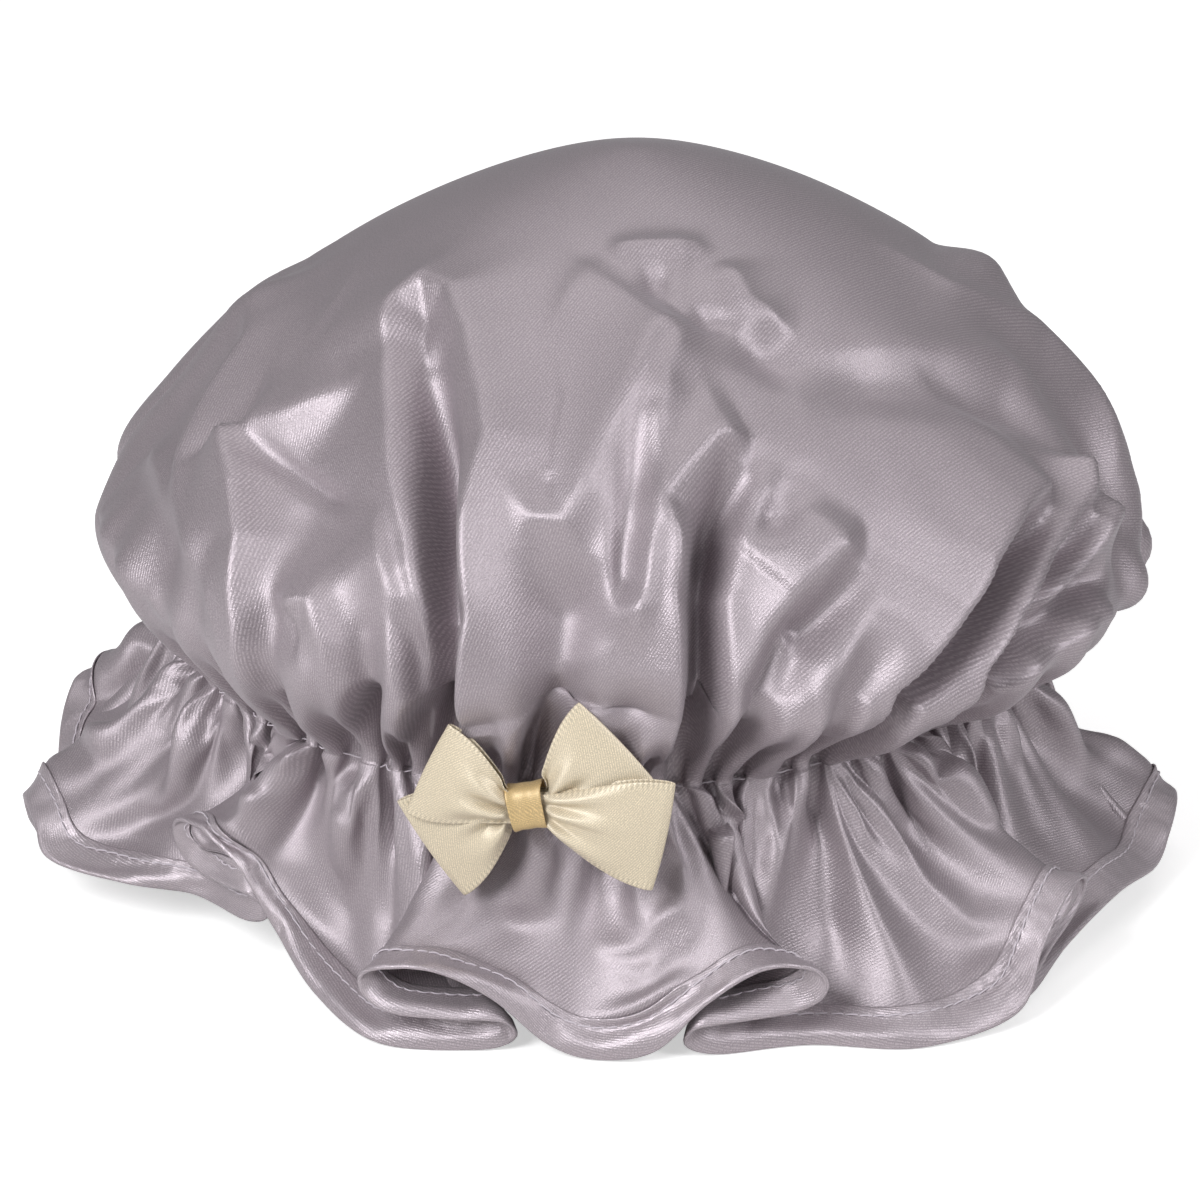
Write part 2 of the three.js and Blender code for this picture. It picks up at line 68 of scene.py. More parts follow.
# the crown: half its width and depth, its top above the elastic, how far it stands to the right, how
# far the top leans further, and how full its side is at the left and at the right
CROWN_HALF = (117 * MM, 113 * MM)
CROWN_TOP = 114.5 * MM
CROWN_SHIFT = 5 * MM
CROWN_LEAN = 2 * MM
LEFT_FULLNESS = 1.46
RIGHT_FULLNESS = 1.57
# the waist's height, how much lower it is at the right, and how much higher at the back
WAIST_HEIGHT, WAIST_SLOPE, WAIST_RISE = 26 * MM, 4.5 * MM, 2 * MM
# how strongly the cloth leaves the waist downwards, and reaches the elastic downwards and outwards
WAIST_PULL, ELASTIC_PULL, ELASTIC_TUCK = 36 * MM, 20 * MM, 14 * MM

HEM_RADIUS = 118 * MM
CURL_LENGTH = 34 * MM
CURL_LIFT = 20 * MM
FLOOR = -CENTRE[2]
print("gathering line at", np.round(CENTRE / MM, 1), "mm")


# %% [markdown]
# ## Small helpers
#
# A surface is worked out as whole numpy arrays and becomes a mesh in one step. Its UVs are the
# flat pattern's own coordinates in metres times ten, so that weave and sheen run with the cloth.

# %% Helpers
def linear(hex_colour):
    """sRGB hex such as 'ffcc00' to linear RGBA: c / 12.92 below 0.04045, else ((c + 0.055) / 1.055) ** 2.4."""
    c = np.array([int(hex_colour[i : i + 2], 16) / 255 for i in (0, 2, 4)])
    c = np.where(c <= 0.04045, c / 12.92, ((c + 0.055) / 1.055) ** 2.4)
    return (*c, 1.0)


def smooth(x, low, high):
    """0 below low, 1 above high, and 3 u^2 - 2 u^3 between them."""
    u = np.clip((x - low) / (high - low), 0, 1)
    return u * u * (3 - 2 * u)


def unit(v):
    """Vectors in the last axis, scaled to length 1."""
    return v / np.maximum(np.linalg.norm(v, axis=-1, keepdims=True), 1e-12)


def mesh_object(name, points, faces, uv=None):
    """A mesh object at the origin from points in the row frame, with one UV for each point."""
    mesh = bpy.data.meshes.new(name)
    mesh.from_pydata(points.tolist(), [], faces)
    if uv is not None:
        layer = mesh.uv_layers.new(name="pattern")
        corner = np.empty(len(mesh.loops), np.int32)
        mesh.loops.foreach_get("vertex_index", corner)
        layer.data.foreach_set("uv", np.asarray(uv, float)[corner].ravel())
    mesh.polygons.foreach_set("use_smooth", np.ones(len(mesh.polygons), bool))
    obj = bpy.data.objects.new(name, mesh)
    scene.collection.objects.link(obj)
    return obj


def grid_faces(rows, columns, closed_rows=False, closed_columns=True):
    """Quads of a rows x columns grid, numbered row by row; they face out when rows go down."""
    r = np.arange(rows if closed_rows else rows - 1)[:, None]
    c = np.arange(columns if closed_columns else columns - 1)[None, :]
    r2, c2 = (r + 1) % rows, (c + 1) % columns
    quads = np.stack([r * columns + c, r2 * columns + c, r2 * columns + c2, r * columns + c2], -1)
    return quads.reshape(-1, 4).tolist()


rng = np.random.default_rng(7)
bessel_angle = np.linspace(0, 2.3, 200)
wave = np.linspace(0, TURN, 400, endpoint=False)
bessel_0 = np.cos(bessel_angle[:, None] * np.sin(wave)).mean(1)
bessel_1 = (np.sin(bessel_angle[:, None] * np.sin(wave)) * np.sin(wave)).mean(1)
bessel_2 = (np.cos(bessel_angle[:, None] * np.sin(wave)) * np.cos(2 * wave)).mean(1)


def swing_for(ratio):
    """How far a meander swings, in radians, when it shortens its line to ratio: J0(swing) = ratio."""
    return np.interp(-np.clip(ratio, 0.1, 1), -bessel_0, bessel_angle)


def meander(length, swing, phase):
    """Offsets (across, along) of a meander of that wave length of cloth: its direction swings as
    sin(phase), so across = -L/2pi 2 J1 cos(phase) and along = L/2pi J2 sin(2 phase)."""
    scale = length / TURN
    across = -2 * scale * np.interp(swing, bessel_angle, bessel_1) * np.cos(phase)
    along = scale * np.interp(swing, bessel_angle, bessel_2) * np.sin(2 * phase)
    return across, along


# %% [markdown]
# ## The crown's big shape
#
# Seen from above the crown is nearly round. From the side it is a superellipse: nearly a cone
# above its waist, fuller on the right than on the left, and tucked in below it. Every meridian is
# sampled by its length, because the cloth lies along it unstretched.

# %% Crown base
upper_angles = np.linspace(np.pi / 2, 0, 110)
lower_steps = np.linspace(0, 1, 60)[1:]


def hermite(t):
    """Weights of start point, start tangent, end point and end tangent at t."""
    return 2 * t**3 - 3 * t**2 + 1, t**3 - 2 * t**2 + t, 3 * t**2 - 2 * t**3, t**3 - t**2


def crown_meridian(azimuth):
    """Points down the meridians of the crown, shape (n, samples, 3), from the top to the elastic.
    Above the waist r = half cos(a) ** p, z = waist + (top - waist) sin(a) ** p. Below it a Hermite curve
    turns in and meets the elastic steeply."""
    cos, sin = np.cos(azimuth)[:, None], np.sin(azimuth)[:, None]
    half = 1 / np.sqrt((cos / CROWN_HALF[0]) ** 2 + (sin / CROWN_HALF[1]) ** 2)
    waist = WAIST_HEIGHT - WAIST_SLOPE * cos + WAIST_RISE * sin
    power = 2 / (LEFT_FULLNESS + (RIGHT_FULLNESS - LEFT_FULLNESS) * (1 + cos) / 2)
    upper_reach = half * np.cos(upper_angles)[None, :] ** power
    upper_z = waist + (CROWN_TOP - waist) * np.sin(upper_angles)[None, :] ** power
    w0, w1, w2, w3 = hermite(lower_steps[None, :])
    lower_reach = half * w0 + GATHER_RADIUS * w2 - ELASTIC_TUCK * w3
    lower_z = waist * w0 - WAIST_PULL * w1 - ELASTIC_PULL * w3
    reach = np.concatenate([upper_reach, lower_reach], 1)
    z = np.concatenate([upper_z, lower_z + 0 * half], 1)
    hold = np.where(z > waist, 1, (reach - GATHER_RADIUS) / (half - GATHER_RADIUS))
    shift = (CROWN_SHIFT + CROWN_LEAN * np.maximum(0, z) / CROWN_TOP) * hold
    return np.stack([reach * cos + shift, reach * sin, z], -1)


# the same surface as a table: 720 meridians by 401 shares of their length
TABLE_TURNS, TABLE_SHARES = 720, 401
table_lines = crown_meridian(np.arange(TABLE_TURNS) / TABLE_TURNS * TURN)
table_steps = np.linalg.norm(np.diff(table_lines, axis=1), axis=2)
table_reached = np.concatenate([np.zeros((TABLE_TURNS, 1)), table_steps.cumsum(1)], 1)
crown_table = np.empty((TABLE_SHARES, TABLE_TURNS, 3))
for i in range(TABLE_TURNS):
    at = np.linspace(0, table_reached[i, -1], TABLE_SHARES)
    for k in range(3):
        crown_table[:, i, k] = np.interp(at, table_reached[i], table_lines[i, :, k])


def catmull(t):
    """Weights of the four neighbours of a Catmull-Rom span at t."""
    a, b, c, d = -t + 2 * t**2 - t**3, 2 - 5 * t**2 + 3 * t**3, t + 4 * t**2 - 3 * t**3, -(t**2) + t**3
    return 0.5 * np.stack([a, b, c, d], -1)


def sample(grid, row, column):
    """Catmull-Rom interpolation of a grid that is closed along its rows."""
    r0 = np.clip(np.floor(row).astype(int), 0, len(grid) - 2)
    c0 = np.floor(column).astype(int)
    wr, wc = catmull(row - r0), catmull(column - c0)
    out = 0
    for i in range(4):
        ri = np.clip(r0 + i - 1, 0, len(grid) - 1)
        for j in range(4):
            out = out + grid[ri, (c0 + j - 1) % grid.shape[1]] * (wr[..., i] * wc[..., j])[..., None]
    return out


def crown_frame(azimuth, share):
    """Base point, outward normal and direction along the parallel."""
    row, column = share * (TABLE_SHARES - 1), azimuth / TURN * TABLE_TURNS
    here = sample(crown_table, row, column)
    along = sample(crown_table, row, column + 2) - sample(crown_table, row, column - 2)
    along = unit(along + 1e-9 * np.stack([-np.sin(azimuth), np.cos(azimuth), 0 * azimuth], -1))
    down = sample(crown_table, np.minimum(row + 3, 400), column) - sample(crown_table, np.maximum(row - 3, 0), column)
    return here, unit(np.cross(down, along)), along


# %% [markdown]
# ## Folds
#
# The flat circle is longer round than the crown is, more so the nearer it is to the elastic. That
# spare length stands in big folds at the waist, which split into smaller ones and end in the small
# even gathers at the elastic. Each regular fold has an azimuth at the elastic, one at the shoulder,
# and a share of the full depth.
#
# At the front the cloth's own folds matter more than the regular ones. They were read off the
# photograph, one line each, and are ridges or valleys on top of the base shape.

# %% Fold tables
CROWN_RIDGES = np.array([
    [-174, -178, 0.7],
    [-153, -158, 1.0],
    [-136, -148, 1.0],
    [-121, -128, 0.9],
    [-106, -109, 0.9],
    [-91, -90, 1.1],
    [-71, -67, 1.0],
    [-60, -44, 1.0],
    [-48, -20, 0.9],
    [-32, 3, 0.8],
    [-10, 22, 0.8],
    [14, 40, 0.7],
    [38, 58, 0.8],
    [62, 76, 0.8],
    [84, 95, 0.9],
    [106, 113, 0.8],
    [128, 131, 0.8],
    [148, 150, 0.8],
    [167, 165, 0.7],
])
ridge_count = len(CROWN_RIDGES)


def ridge_phase(azimuth, shoulder):
    """Phase of the big folds, 2 pi k + pi at ridge k, between the two placings of each ridge."""
    degrees = np.degrees(azimuth)
    k = np.arange(-2, ridge_count + 2)
    wrap = 360 * (k // ridge_count)
    low = CROWN_RIDGES[k % ridge_count, 0] + wrap
    high = CROWN_RIDGES[k % ridge_count, 1] + wrap
    out = np.empty_like(degrees)
    for i, (d, s) in enumerate(zip(degrees, shoulder)):
        places = low + (high - low) * s
        out[i] = np.interp((d - places[2]) % 360 + places[2], places, k)
    depth = np.interp(out, np.arange(ridge_count), CROWN_RIDGES[:, 2], period=ridge_count)
    return out * TURN + np.pi, depth


# height (a valley's is below zero), width to the right of the way it runs, width to the left, the
# distance in which it rises, all in mm, and then the fold's line as azimuth in degrees and distance
# from the top along the cloth in mm
FOLDS = [
    (4, 5, 10, 30, (-10, 58), (-10, 77), (4, 101), (4, 120), (-4, 130), (-9, 138)),
    (3.2, 6, 3, 6, (-100, 44), (-88, 42), (-71, 42), (-64, 47)),
    (-2.2, 2.5, 2.5, 6, (-84, 47), (-84, 61)),
    (3, 4, 5, 6, (-64, 47), (-63, 61), (-55, 70)),
    (-2.5, 3.5, 3.5, 6, (-78, 63), (-72, 64), (-67, 66)),
    (4, 6, 16, 12, (-98, 44), (-104, 59), (-106, 76), (-106, 90)),
    (-4, 7, 7, 8, (-66, 66), (-63, 76), (-65, 85)),
    (-4, 7, 9, 20, (-61, 84), (-48, 86), (-34, 94), (-24, 104), (-20, 118)),
    (2, 6, 6, 20, (-56, 74), (-36, 80), (-16, 94), (-10, 110)),
    (10, 6, 15, 10, (-134, 86), (-138, 74), (-136, 66), (-128, 67), (-120, 76), (-113, 90), (-110, 99),
     (-110, 112), (-110, 125), (-109, 138), (-108, 152), (-108, 160), (-105, 178), (-105, 193)),
    (7, 9, 4.5, 8, (-138, 74), (-134, 83), (-126, 99), (-122, 110), (-117, 123), (-114, 136),
     (-112, 148), (-112, 157), (-112, 173), (-112, 193)),
    (-15, 3.6, 3.4, 30, (-124, 84), (-118, 101), (-113, 122), (-110, 139), (-110, 156), (-110, 174),
     (-110, 193)),
    (7, 10, 3.2, 20, (-127, 118), (-122, 122), (-119, 130), (-115, 141), (-114, 152), (-114, 162),
     (-114, 184), (-114, 193)),
    (-7, 3, 3, 15, (-115, 136), (-113, 149), (-112, 160), (-114, 183), (-114, 193)),
    (6, 6, 16, 6, (-151, 114), (-144, 106), (-137, 94), (-135, 83), (-134, 76)),
    (9, 14, 4, 4, (-152, 114), (-143, 124), (-138, 134), (-136, 146), (-134, 156), (-133, 168),
     (-129, 176), (-127, 190)),
    (-2, 2.5, 2.5, 10, (-148, 115), (-136, 117), (-126, 120)),
    (-4, 12, 12, 30, (-136, 114), (-129, 128), (-125, 138)),
    (5.5, 4, 12, 40, (-192, 84), (-166, 98), (-162, 112), (-157, 126), (-152, 134), (-146, 140),
     (-140, 148), (-137, 156), (-138, 174), (-146, 192)),
    (2.5, 4, 7, 30, (-178, 60), (-159, 74), (-150, 94)),
    (4, 6, 4, 12, (-170, 131), (-160, 132), (-153, 136), (-146, 141), (-141, 147)),
    (7, 6, 9, 8, (-172, 150), (-158, 153), (-151, 156), (-149, 168), (-148, 180)),
    (7, 5, 5, 8, (-130, 149), (-130, 144), (-126, 142), (-123, 151), (-122, 162), (-124, 190)),
    (4.5, 5, 5, 12, (-128, 151), (-125, 158), (-124, 169), (-126, 188), (-126, 193)),
    (-7, 3.5, 3.5, 20, (-119, 147), (-118, 158), (-121, 184), (-121, 193)),
    (7.5, 15, 6, 8, (-78, 63), (-86, 70), (-90, 83), (-94, 96), (-96, 108), (-98, 116), (-102, 116),
     (-106, 109), (-108, 96)),
    (7.5, 7, 5, 12, (-78, 63), (-84, 80), (-86, 93), (-87, 108), (-88, 122), (-89, 135), (-90, 145)),
    (-5, 4, 4, 20, (-87, 90), (-89, 108), (-90, 122), (-90, 135)),
    (-8, 7, 8, 12, (-98, 122), (-98, 136), (-98, 152), (-98, 172), (-98, 193)),
    (7.5, 10, 4, 6, (-72, 94), (-78, 96), (-82, 102), (-86, 110), (-84, 118), (-83, 130), (-83, 146),
     (-83, 162), (-83, 193)),
    (-15, 3.2, 4.6, 25, (-75, 100), (-80, 115), (-82, 130), (-82, 146), (-82, 163), (-82, 193)),
    (-4.5, 4, 4, 12, (-66, 106), (-70, 112), (-74, 120)),
    (8, 13, 3.5, 10, (-60, 116), (-65, 124), (-70, 134), (-74, 138), (-77, 141)),
    (-8, 4, 5.5, 20, (-63, 124), (-67, 132), (-72, 142), (-75, 152), (-76, 166), (-76, 193)),
    (5.5, 3, 3, 5, (-72, 136), (-72, 142), (-74, 153), (-72, 169), (-72, 193)),
    (4, 9, 9, 30, (-60, 124), (-64, 142), (-68, 154), (-69, 166), (-69, 193)),
    (-6, 4, 4, 20, (-61, 142), (-66, 154), (-67, 167), (-67, 193)),
    (8.5, 17, 3.2, 12, (-27, 120), (-38, 124), (-46, 132), (-50, 142), (-56, 148), (-60, 156),
     (-62, 166), (-62, 193)),
    (-12, 3.2, 3.2, 15, (-33, 126), (-42, 134), (-48, 142), (-54, 150), (-59, 157), (-60, 168),
     (-60, 193)),
    (8, 4, 4.5, 4, (-20, 120), (-24, 127), (-32, 134), (-42, 143), (-49, 152), (-53, 162), (-53, 172),
     (-53, 193)),
    (-11, 3.4, 3.4, 12, (-24, 132), (-34, 139), (-42, 147), (-48, 156), (-49, 170), (-49, 193)),
    (7.5, 5, 5, 5, (-18, 134), (-28, 137), (-40, 144), (-47, 152), (-51, 159), (-50, 171), (-50, 193)),
    (-9, 3.6, 3.6, 12, (-22, 144), (-32, 147), (-42, 152), (-48, 159), (-48, 170), (-48, 193)),
    (7, 5, 5, 10, (-24, 154), (-34, 151), (-42, 154), (-48, 160), (-49, 166), (-49, 193)),
    (9, 18, 18, 15, (14, 76), (7, 96), (2, 108)),
    (7.5, 20, 20, 20, (-178, 80), (-176, 100), (-174, 124)),
    (-13, 20, 20, 20, (-101, 150), (-98, 164), (-98, 180)),
    (-9, 13, 13, 15, (-87, 148), (-88, 164), (-89, 178)),
]


FOLD_STEP = 9
MM_PER_DEGREE = 1.8
RIDGE_FADES = (30 * MM, 60 * MM)
# a line that ends nearer to the top than this fades out at its end, and any other runs to the elastic
OPEN_END = 185


def fold_relief(here, normal):
    """Ridges and valleys of the listed folds, apart, at points of the base shape. A ridge is
    tent-like with a round edge, height * exp((c - hypot(gap, c)) / width); a narrow valley has steep
    walls and a flat floor, depth * exp(-(gap / width) ** 3), and a wide one is rounder, with power 2.
    gap is the distance to the fold's line, and its sides are told apart by the sign of a cross product.
    A fold can be steeper on one side, rises gently from its start, and narrows towards its end.
    Where ridges meet, the cloth spans them: the cube root of the sum of their cubes."""
    ridges, valleys = np.zeros(len(here)), np.zeros(len(here))
    for height, right, left, rise, *line in FOLDS:
        places = np.array(line, float)
        lengths = np.hypot(np.diff(places[:, 0]) * MM_PER_DEGREE, np.diff(places[:, 1]))
        spans = np.maximum(1, np.ceil(lengths / FOLD_STEP)).astype(int)
        ends = np.concatenate([[0], spans.cumsum()])
        at = np.arange(ends[-1] + 1)
        degrees, distance = np.interp(at, ends, places[:, 0]), np.interp(at, ends, places[:, 1])
        points, _, _ = crown_frame(np.radians(degrees), distance * MM / FLAT_GATHER)
        around = 0.5 * np.ptp(points, axis=0).sum() + 70 * MM
        near = np.flatnonzero(np.linalg.norm(here - points.mean(0), axis=1) < around)
        spot, up = here[near], normal[near]
        gap, aside, reached = np.full(len(near), 1.0), np.zeros(len(near)), np.zeros(len(near))
        run = 0
        for k, (a, b) in enumerate(zip(points[:-1], points[1:])):
            length = np.linalg.norm(b - a)
            way = (b - a) / length
            along = np.clip((spot - a) @ way, 0, length)
            off = spot - a - along[:, None] * way
            apart = np.linalg.norm(off, axis=1)
            closer = apart < gap
            turned = (np.cross(off, way) * up).sum(1) / np.maximum(apart, 0.01 * MM)
            at_end = (along <= 0) & (k == 0) | (along >= length) & (k == len(points) - 2)
            aside = np.where(closer, np.where(at_end, turned, np.sign(turned)), aside)
            reached = np.where(closer, run + along, reached)
            gap = np.where(closer, apart, gap)
            run += length
        narrowing = 1.15 - 0.4 * reached / run
        width = ((right + left) / 2 + (right - left) / 2 * np.clip(aside, -1, 1)) * narrowing * MM
        shape = smooth(reached, -0.3 * rise * MM, rise * MM)
        if places[-1, 1] < OPEN_END:
            fall = max(9, 1.8 * right, 1.8 * left) * MM
            shape = shape * (1 - smooth(reached, run - fall, run + 1 * MM))
        if height > 0:
            edge = max(0.22 * min(right, left), 1.2) * MM
            shape = shape * (1 - smooth(gap, *RIDGE_FADES))
            ridges[near] += (height * shape * np.exp((edge - np.hypot(gap, edge)) / width)) ** 3
        else:
            wall = 3 if max(right, left) < 6 else 2
            valleys[near] -= height * MM * shape * np.exp(-((gap / width) ** wall))
    return np.cbrt(ridges) * MM, valleys


gather_jitter = rng.normal(0, 0.22, GATHERS)
gather_depth = 1 + rng.normal(0, 0.18, GATHERS)


def gather_phase(azimuth):
    """Phase of the small gathers, a little uneven, and each one's share of depth."""
    k = azimuth / TURN * GATHERS
    wobble = np.interp(k, np.arange(GATHERS), gather_jitter, period=GATHERS)
    depth = np.interp(k, np.arange(GATHERS), gather_depth, period=GATHERS)
    return (k + wobble) * TURN, depth


GATHER_DEPTH = 2.6 * MM


def gather_line(azimuth):
    """The wavy line along which crown and ruffle are sewn to the elastic."""
    phase, depth = gather_phase(azimuth)
    radius = GATHER_RADIUS + 0.8 * MM - GATHER_DEPTH * depth * np.cos(phase) / 1.3
    turned = azimuth + 1.1 * MM * np.sin(2 * phase) / GATHER_RADIUS
    return np.stack([radius * np.cos(turned), radius * np.sin(turned), np.zeros_like(radius)], -1)


print(ridge_count, "big folds,", GATHERS, "gathers")


# %% [markdown]
# ## The crown's cloth
#
# The flat circle is divided into rings, with more points on the outer ones so that the squares
# stay about the same size. Each point is first put on the base shape with its share of the folds.

# %% Crown mesh
CLOTH_STEP = 1.4 * MM


def disc_rings(radius, outer_count):
    """Rings of a flat disc: (radius, number of points). The number halves where they would crowd."""
    rings = []
    count = outer_count
    for r in np.linspace(radius, CLOTH_STEP * 1.5, int(round(radius / CLOTH_STEP))):
        if TURN * r / count < 0.6 * CLOTH_STEP and count > 27:
            count //= 2
        rings.append((r, count))
    return rings[::-1]


def disc_faces(rings):
    """Faces of a disc of rings round one middle point, with three triangles where a ring doubles."""
    faces = []
    start = 1
    first = rings[0][1]
    faces += [[0, 1 + (j + 1) % first, 1 + j][::-1] for j in range(first)]
    for (_, n), (_, m) in zip(rings[:-1], rings[1:]):
        outer = start + n
        j = np.arange(n)
        if n == m:
            quads = np.stack([start + j, outer + j, outer + (j + 1) % n, start + (j + 1) % n], -1)
            faces += quads.tolist()
        else:
            a, b = start + j, start + (j + 1) % n
            p, q, r = outer + 2 * j, outer + 2 * j + 1, outer + (2 * j + 2) % m
            faces += np.stack([a, p, q], -1).tolist()
            faces += np.stack([a, q, r, b], -1).tolist()
        start = outer
    return faces


def crease_noise(azimuth, down):
    """Small uneven creases that run mostly down the cloth: three sizes of value noise, up to 0.8 mm."""
    total = np.zeros_like(azimuth)
    for seed, cells, length, height in ((21, 46, 26 * MM, 0.45), (22, 90, 17 * MM, 0.25), (23, 150, 9 * MM, 0.12)):
        values = np.random.default_rng(seed).uniform(-1, 1, (64, cells))
        x, y = (azimuth / TURN * cells) % cells, down / length
        i, j = np.floor(y).astype(int), np.floor(x).astype(int)
        u, v = smooth(y - i, 0, 1), smooth(x - j, 0, 1)
        low = values[i, j % cells] * (1 - v) + values[i, (j + 1) % cells] * v
        high = values[i + 1, j % cells] * (1 - v) + values[i + 1, (j + 1) % cells] * v
        total += height * MM * (low * (1 - u) + high * u)
    return total


def weight_in_front(azimuth, count):
    """The regular folds stand back where the listed ones are, and the gathers don't."""
    degrees = np.degrees((azimuth + np.pi) % TURN - np.pi)
    front = smooth(degrees, -182, -166) * (1 - smooth(degrees, -24, -4))
    return 1 - front * (0.9 if count == ridge_count else 0.45 if count < GATHERS else 0)


def folded_crown(azimuth, flat_radius):
    """Points of the crown: the base shape, three sizes of meander that share the spare cloth, and the
    listed folds. 2 mm is taken off again, which the many ridges' tails add nearly everywhere."""
    share = flat_radius / FLAT_GATHER
    here, normal, along = crown_frame(azimuth, share)
    round_base = np.linalg.norm(here[:, :2] - [CROWN_SHIFT, 0], axis=1)
    ratio = np.minimum(1, round_base / np.maximum(flat_radius, 1e-6))
    swing = swing_for(ratio)
    fine = smooth(share, 0.82, 0.97)
    middle = smooth(share, 0.68, 0.92) * (1 - 0.6 * fine)
    coarse = 1 - 0.72 * smooth(share, 0.78, 0.99)
    calm_top = smooth(share, 0.3, 0.75)
    total = np.sqrt(fine**2 + middle**2 + coarse**2)
    shoulder = 1 - smooth(share, 0.6, 1.0)
    big_phase, big_depth = ridge_phase(azimuth, shoulder)
    small_phase, small_depth = gather_phase(azimuth)
    middle_phase = small_phase / 2 + 1.1 * np.sin(5 * azimuth + 1) + 0.7 * np.sin(11 * azimuth)
    across = np.zeros_like(share)
    sideways = np.zeros_like(share)
    for weight, phase, count, depth in (
        (coarse, big_phase, ridge_count, big_depth),
        (middle, middle_phase, GATHERS / 2, 1),
        (fine, small_phase, GATHERS, small_depth),
    ):
        length = TURN * flat_radius / count
        out, slide = meander(length, swing * weight / total, phase)
        crest, _ = meander(length, swing * weight / total, np.pi)
        across += (out - 0.4 * crest) * depth * weight_in_front(azimuth, count) * calm_top
        sideways += slide * weight_in_front(azimuth, count) * calm_top
    keep = 1 - smooth(share, 0.97, 1.0)
    ridges, valleys = fold_relief(here, normal)
    across += (ridges - 2 * MM) * (1 - smooth(share, 0.68, 0.96))
    across -= valleys * (1 - smooth(share, 0.9, 0.99))
    across += crease_noise(azimuth, flat_radius) * smooth(share, 0.45, 0.75)
    points = here + normal * (across * keep)[:, None] + along * (sideways * keep)[:, None]
    return points + (gather_line(azimuth) - here) * (1 - keep)[:, None]


crown_rings = disc_rings(FLAT_GATHER, GATHERS * 12)
flat = [np.zeros((1, 2))]
crown_points = []
for r, n in crown_rings:
    theta = np.arange(n) / n * TURN
    flat.append(np.stack([r * np.cos(theta), r * np.sin(theta)], -1))
    crown_points.append(folded_crown(theta, np.full(n, r)))
flat = np.concatenate(flat)
crown_points = np.concatenate(crown_points)
crown_points = np.concatenate([crown_points[: crown_rings[0][1]].mean(0)[None], crown_points])
crown_faces = disc_faces(crown_rings)
crown_cloth = crown_points + CENTRE
print("crown", len(flat), "points", np.round(crown_cloth.min(0) / MM, 1), np.round(crown_cloth.max(0) / MM, 1))


# %% [markdown]
# ## Letting the ruffle settle
#
# Only the ruffle is simulated. Blender's cloth solver starts from its folded shape and knows the flat
# ring as the shape at rest, so it finds the smaller folds by itself.

# %% Cloth solver
def ground():
    """A plain square under the cap for the solver."""
    s = 0.3
    corners = np.array([[-s, -s, 0], [s, -s, 0], [s, s, 0], [-s, s, 0]])
    return mesh_object("ground_form", corners, [[0, 1, 2, 3]])


def settle(name, points, faces, flat_points, pinned, frames, gravity):
    """The points after a short run of the cloth solver; pinned weights hold points in place."""
    obj = mesh_object(name, points, faces)
    obj.shape_key_add(name="Basis")
    rest = obj.shape_key_add(name="flat")
    flat3 = np.concatenate([flat_points, np.zeros((len(flat_points), 1))], 1)
    rest.data.foreach_set("co", flat3.ravel())
    rest.value = 0
    group = obj.vertex_groups.new(name="pin")
    for i in np.flatnonzero(pinned > 0):
        group.add([int(i)], float(pinned[i]), "REPLACE")
    cloth = obj.modifiers.new("cloth", "CLOTH")
    s = cloth.settings
    s.vertex_group_mass = "pin"
    s.rest_shape_key = rest
    s.quality = 6
    s.mass = 0.3
    s.tension_stiffness = 12
    s.compression_stiffness = 12
    s.shear_stiffness = 3
    s.bending_stiffness = 0.08
    s.tension_damping = 8
    s.compression_damping = 8
    s.shear_damping = 8
    s.bending_damping = 0.6
    s.air_damping = 3
    s.pin_stiffness = 1
    s.effector_weights.gravity = gravity
    cloth.collision_settings.use_collision = True
    cloth.collision_settings.distance_min = 0.0008
    cloth.collision_settings.use_self_collision = False
    cloth.point_cache.frame_end = frames + 1
    form = ground()
    form.modifiers.new("collide", "COLLISION")
    form.collision.thickness_outer = 0.001
    form.collision.cloth_friction = 8
    form.collision.damping = 0.6
    scene.frame_end = frames + 1
    for f in range(1, frames + 2):
        scene.frame_set(f)
    settled = obj.evaluated_get(bpy.context.evaluated_depsgraph_get())
    out = np.empty(len(points) * 3)
    settled.data.vertices.foreach_get("co", out)
    scene.frame_set(1)
    for o in (obj, form):
        mesh = o.data
        bpy.data.objects.remove(o)
        bpy.data.meshes.remove(mesh)
    return out.reshape(-1, 3)


# %% [markdown]
# ## The ruffle's hem
#
# The hem runs along the ground, turns back under itself and comes over the top again, once for
# each flute. The curls lean away from the bow. A smooth closed line goes through all their points.

# %% Hem line
# azimuth as a share of a turn, lean, length, lift and radius as shares
FLUTES = [
    (-0.470, -1, 0.75, 0.55, 1.10),
    (-0.393, -1, 0.90, 1.00, 0.91),
    (-0.293, -1, 0.95, 1.00, 0.95),
    (-0.209, 1, 0.90, 1.00, 0.98),
    (-0.114, 1, 0.80, 0.90, 1.07),
    (-0.020, 1, 0.80, 0.60, 1.09),
    (0.085, 1, 0.90, 0.80, 0.99),
    (0.180, 1, 0.95, 1.00, 0.99),
    (0.300, -1, 0.95, 1.00, 1.00),
    (0.378, -1, 0.90, 0.90, 1.02),
    (0.453, -1, 0.80, 1.00, 1.08),
]
# one curl: along the hem, outwards and up, as shares of its length and lift
CURL = np.array([
    [-0.60, 0.02, 0.14],
    [-0.25, 0.06, 0.68],
    [0.10, 0.08, 1.00],
    [0.40, 0.08, 0.98],
    [0.56, 0.07, 0.80],
    [0.54, 0.05, 0.58],
    [0.36, 0.03, 0.45],
    [0.04, 0.01, 0.40],
    [-0.25, 0.03, 0.39],
    [-0.35, -0.01, 0.30],
    [-0.36, -0.06, 0.10],
    [-0.12, -0.05, 0.00],
    [0.50, -0.04, 0.00],
])


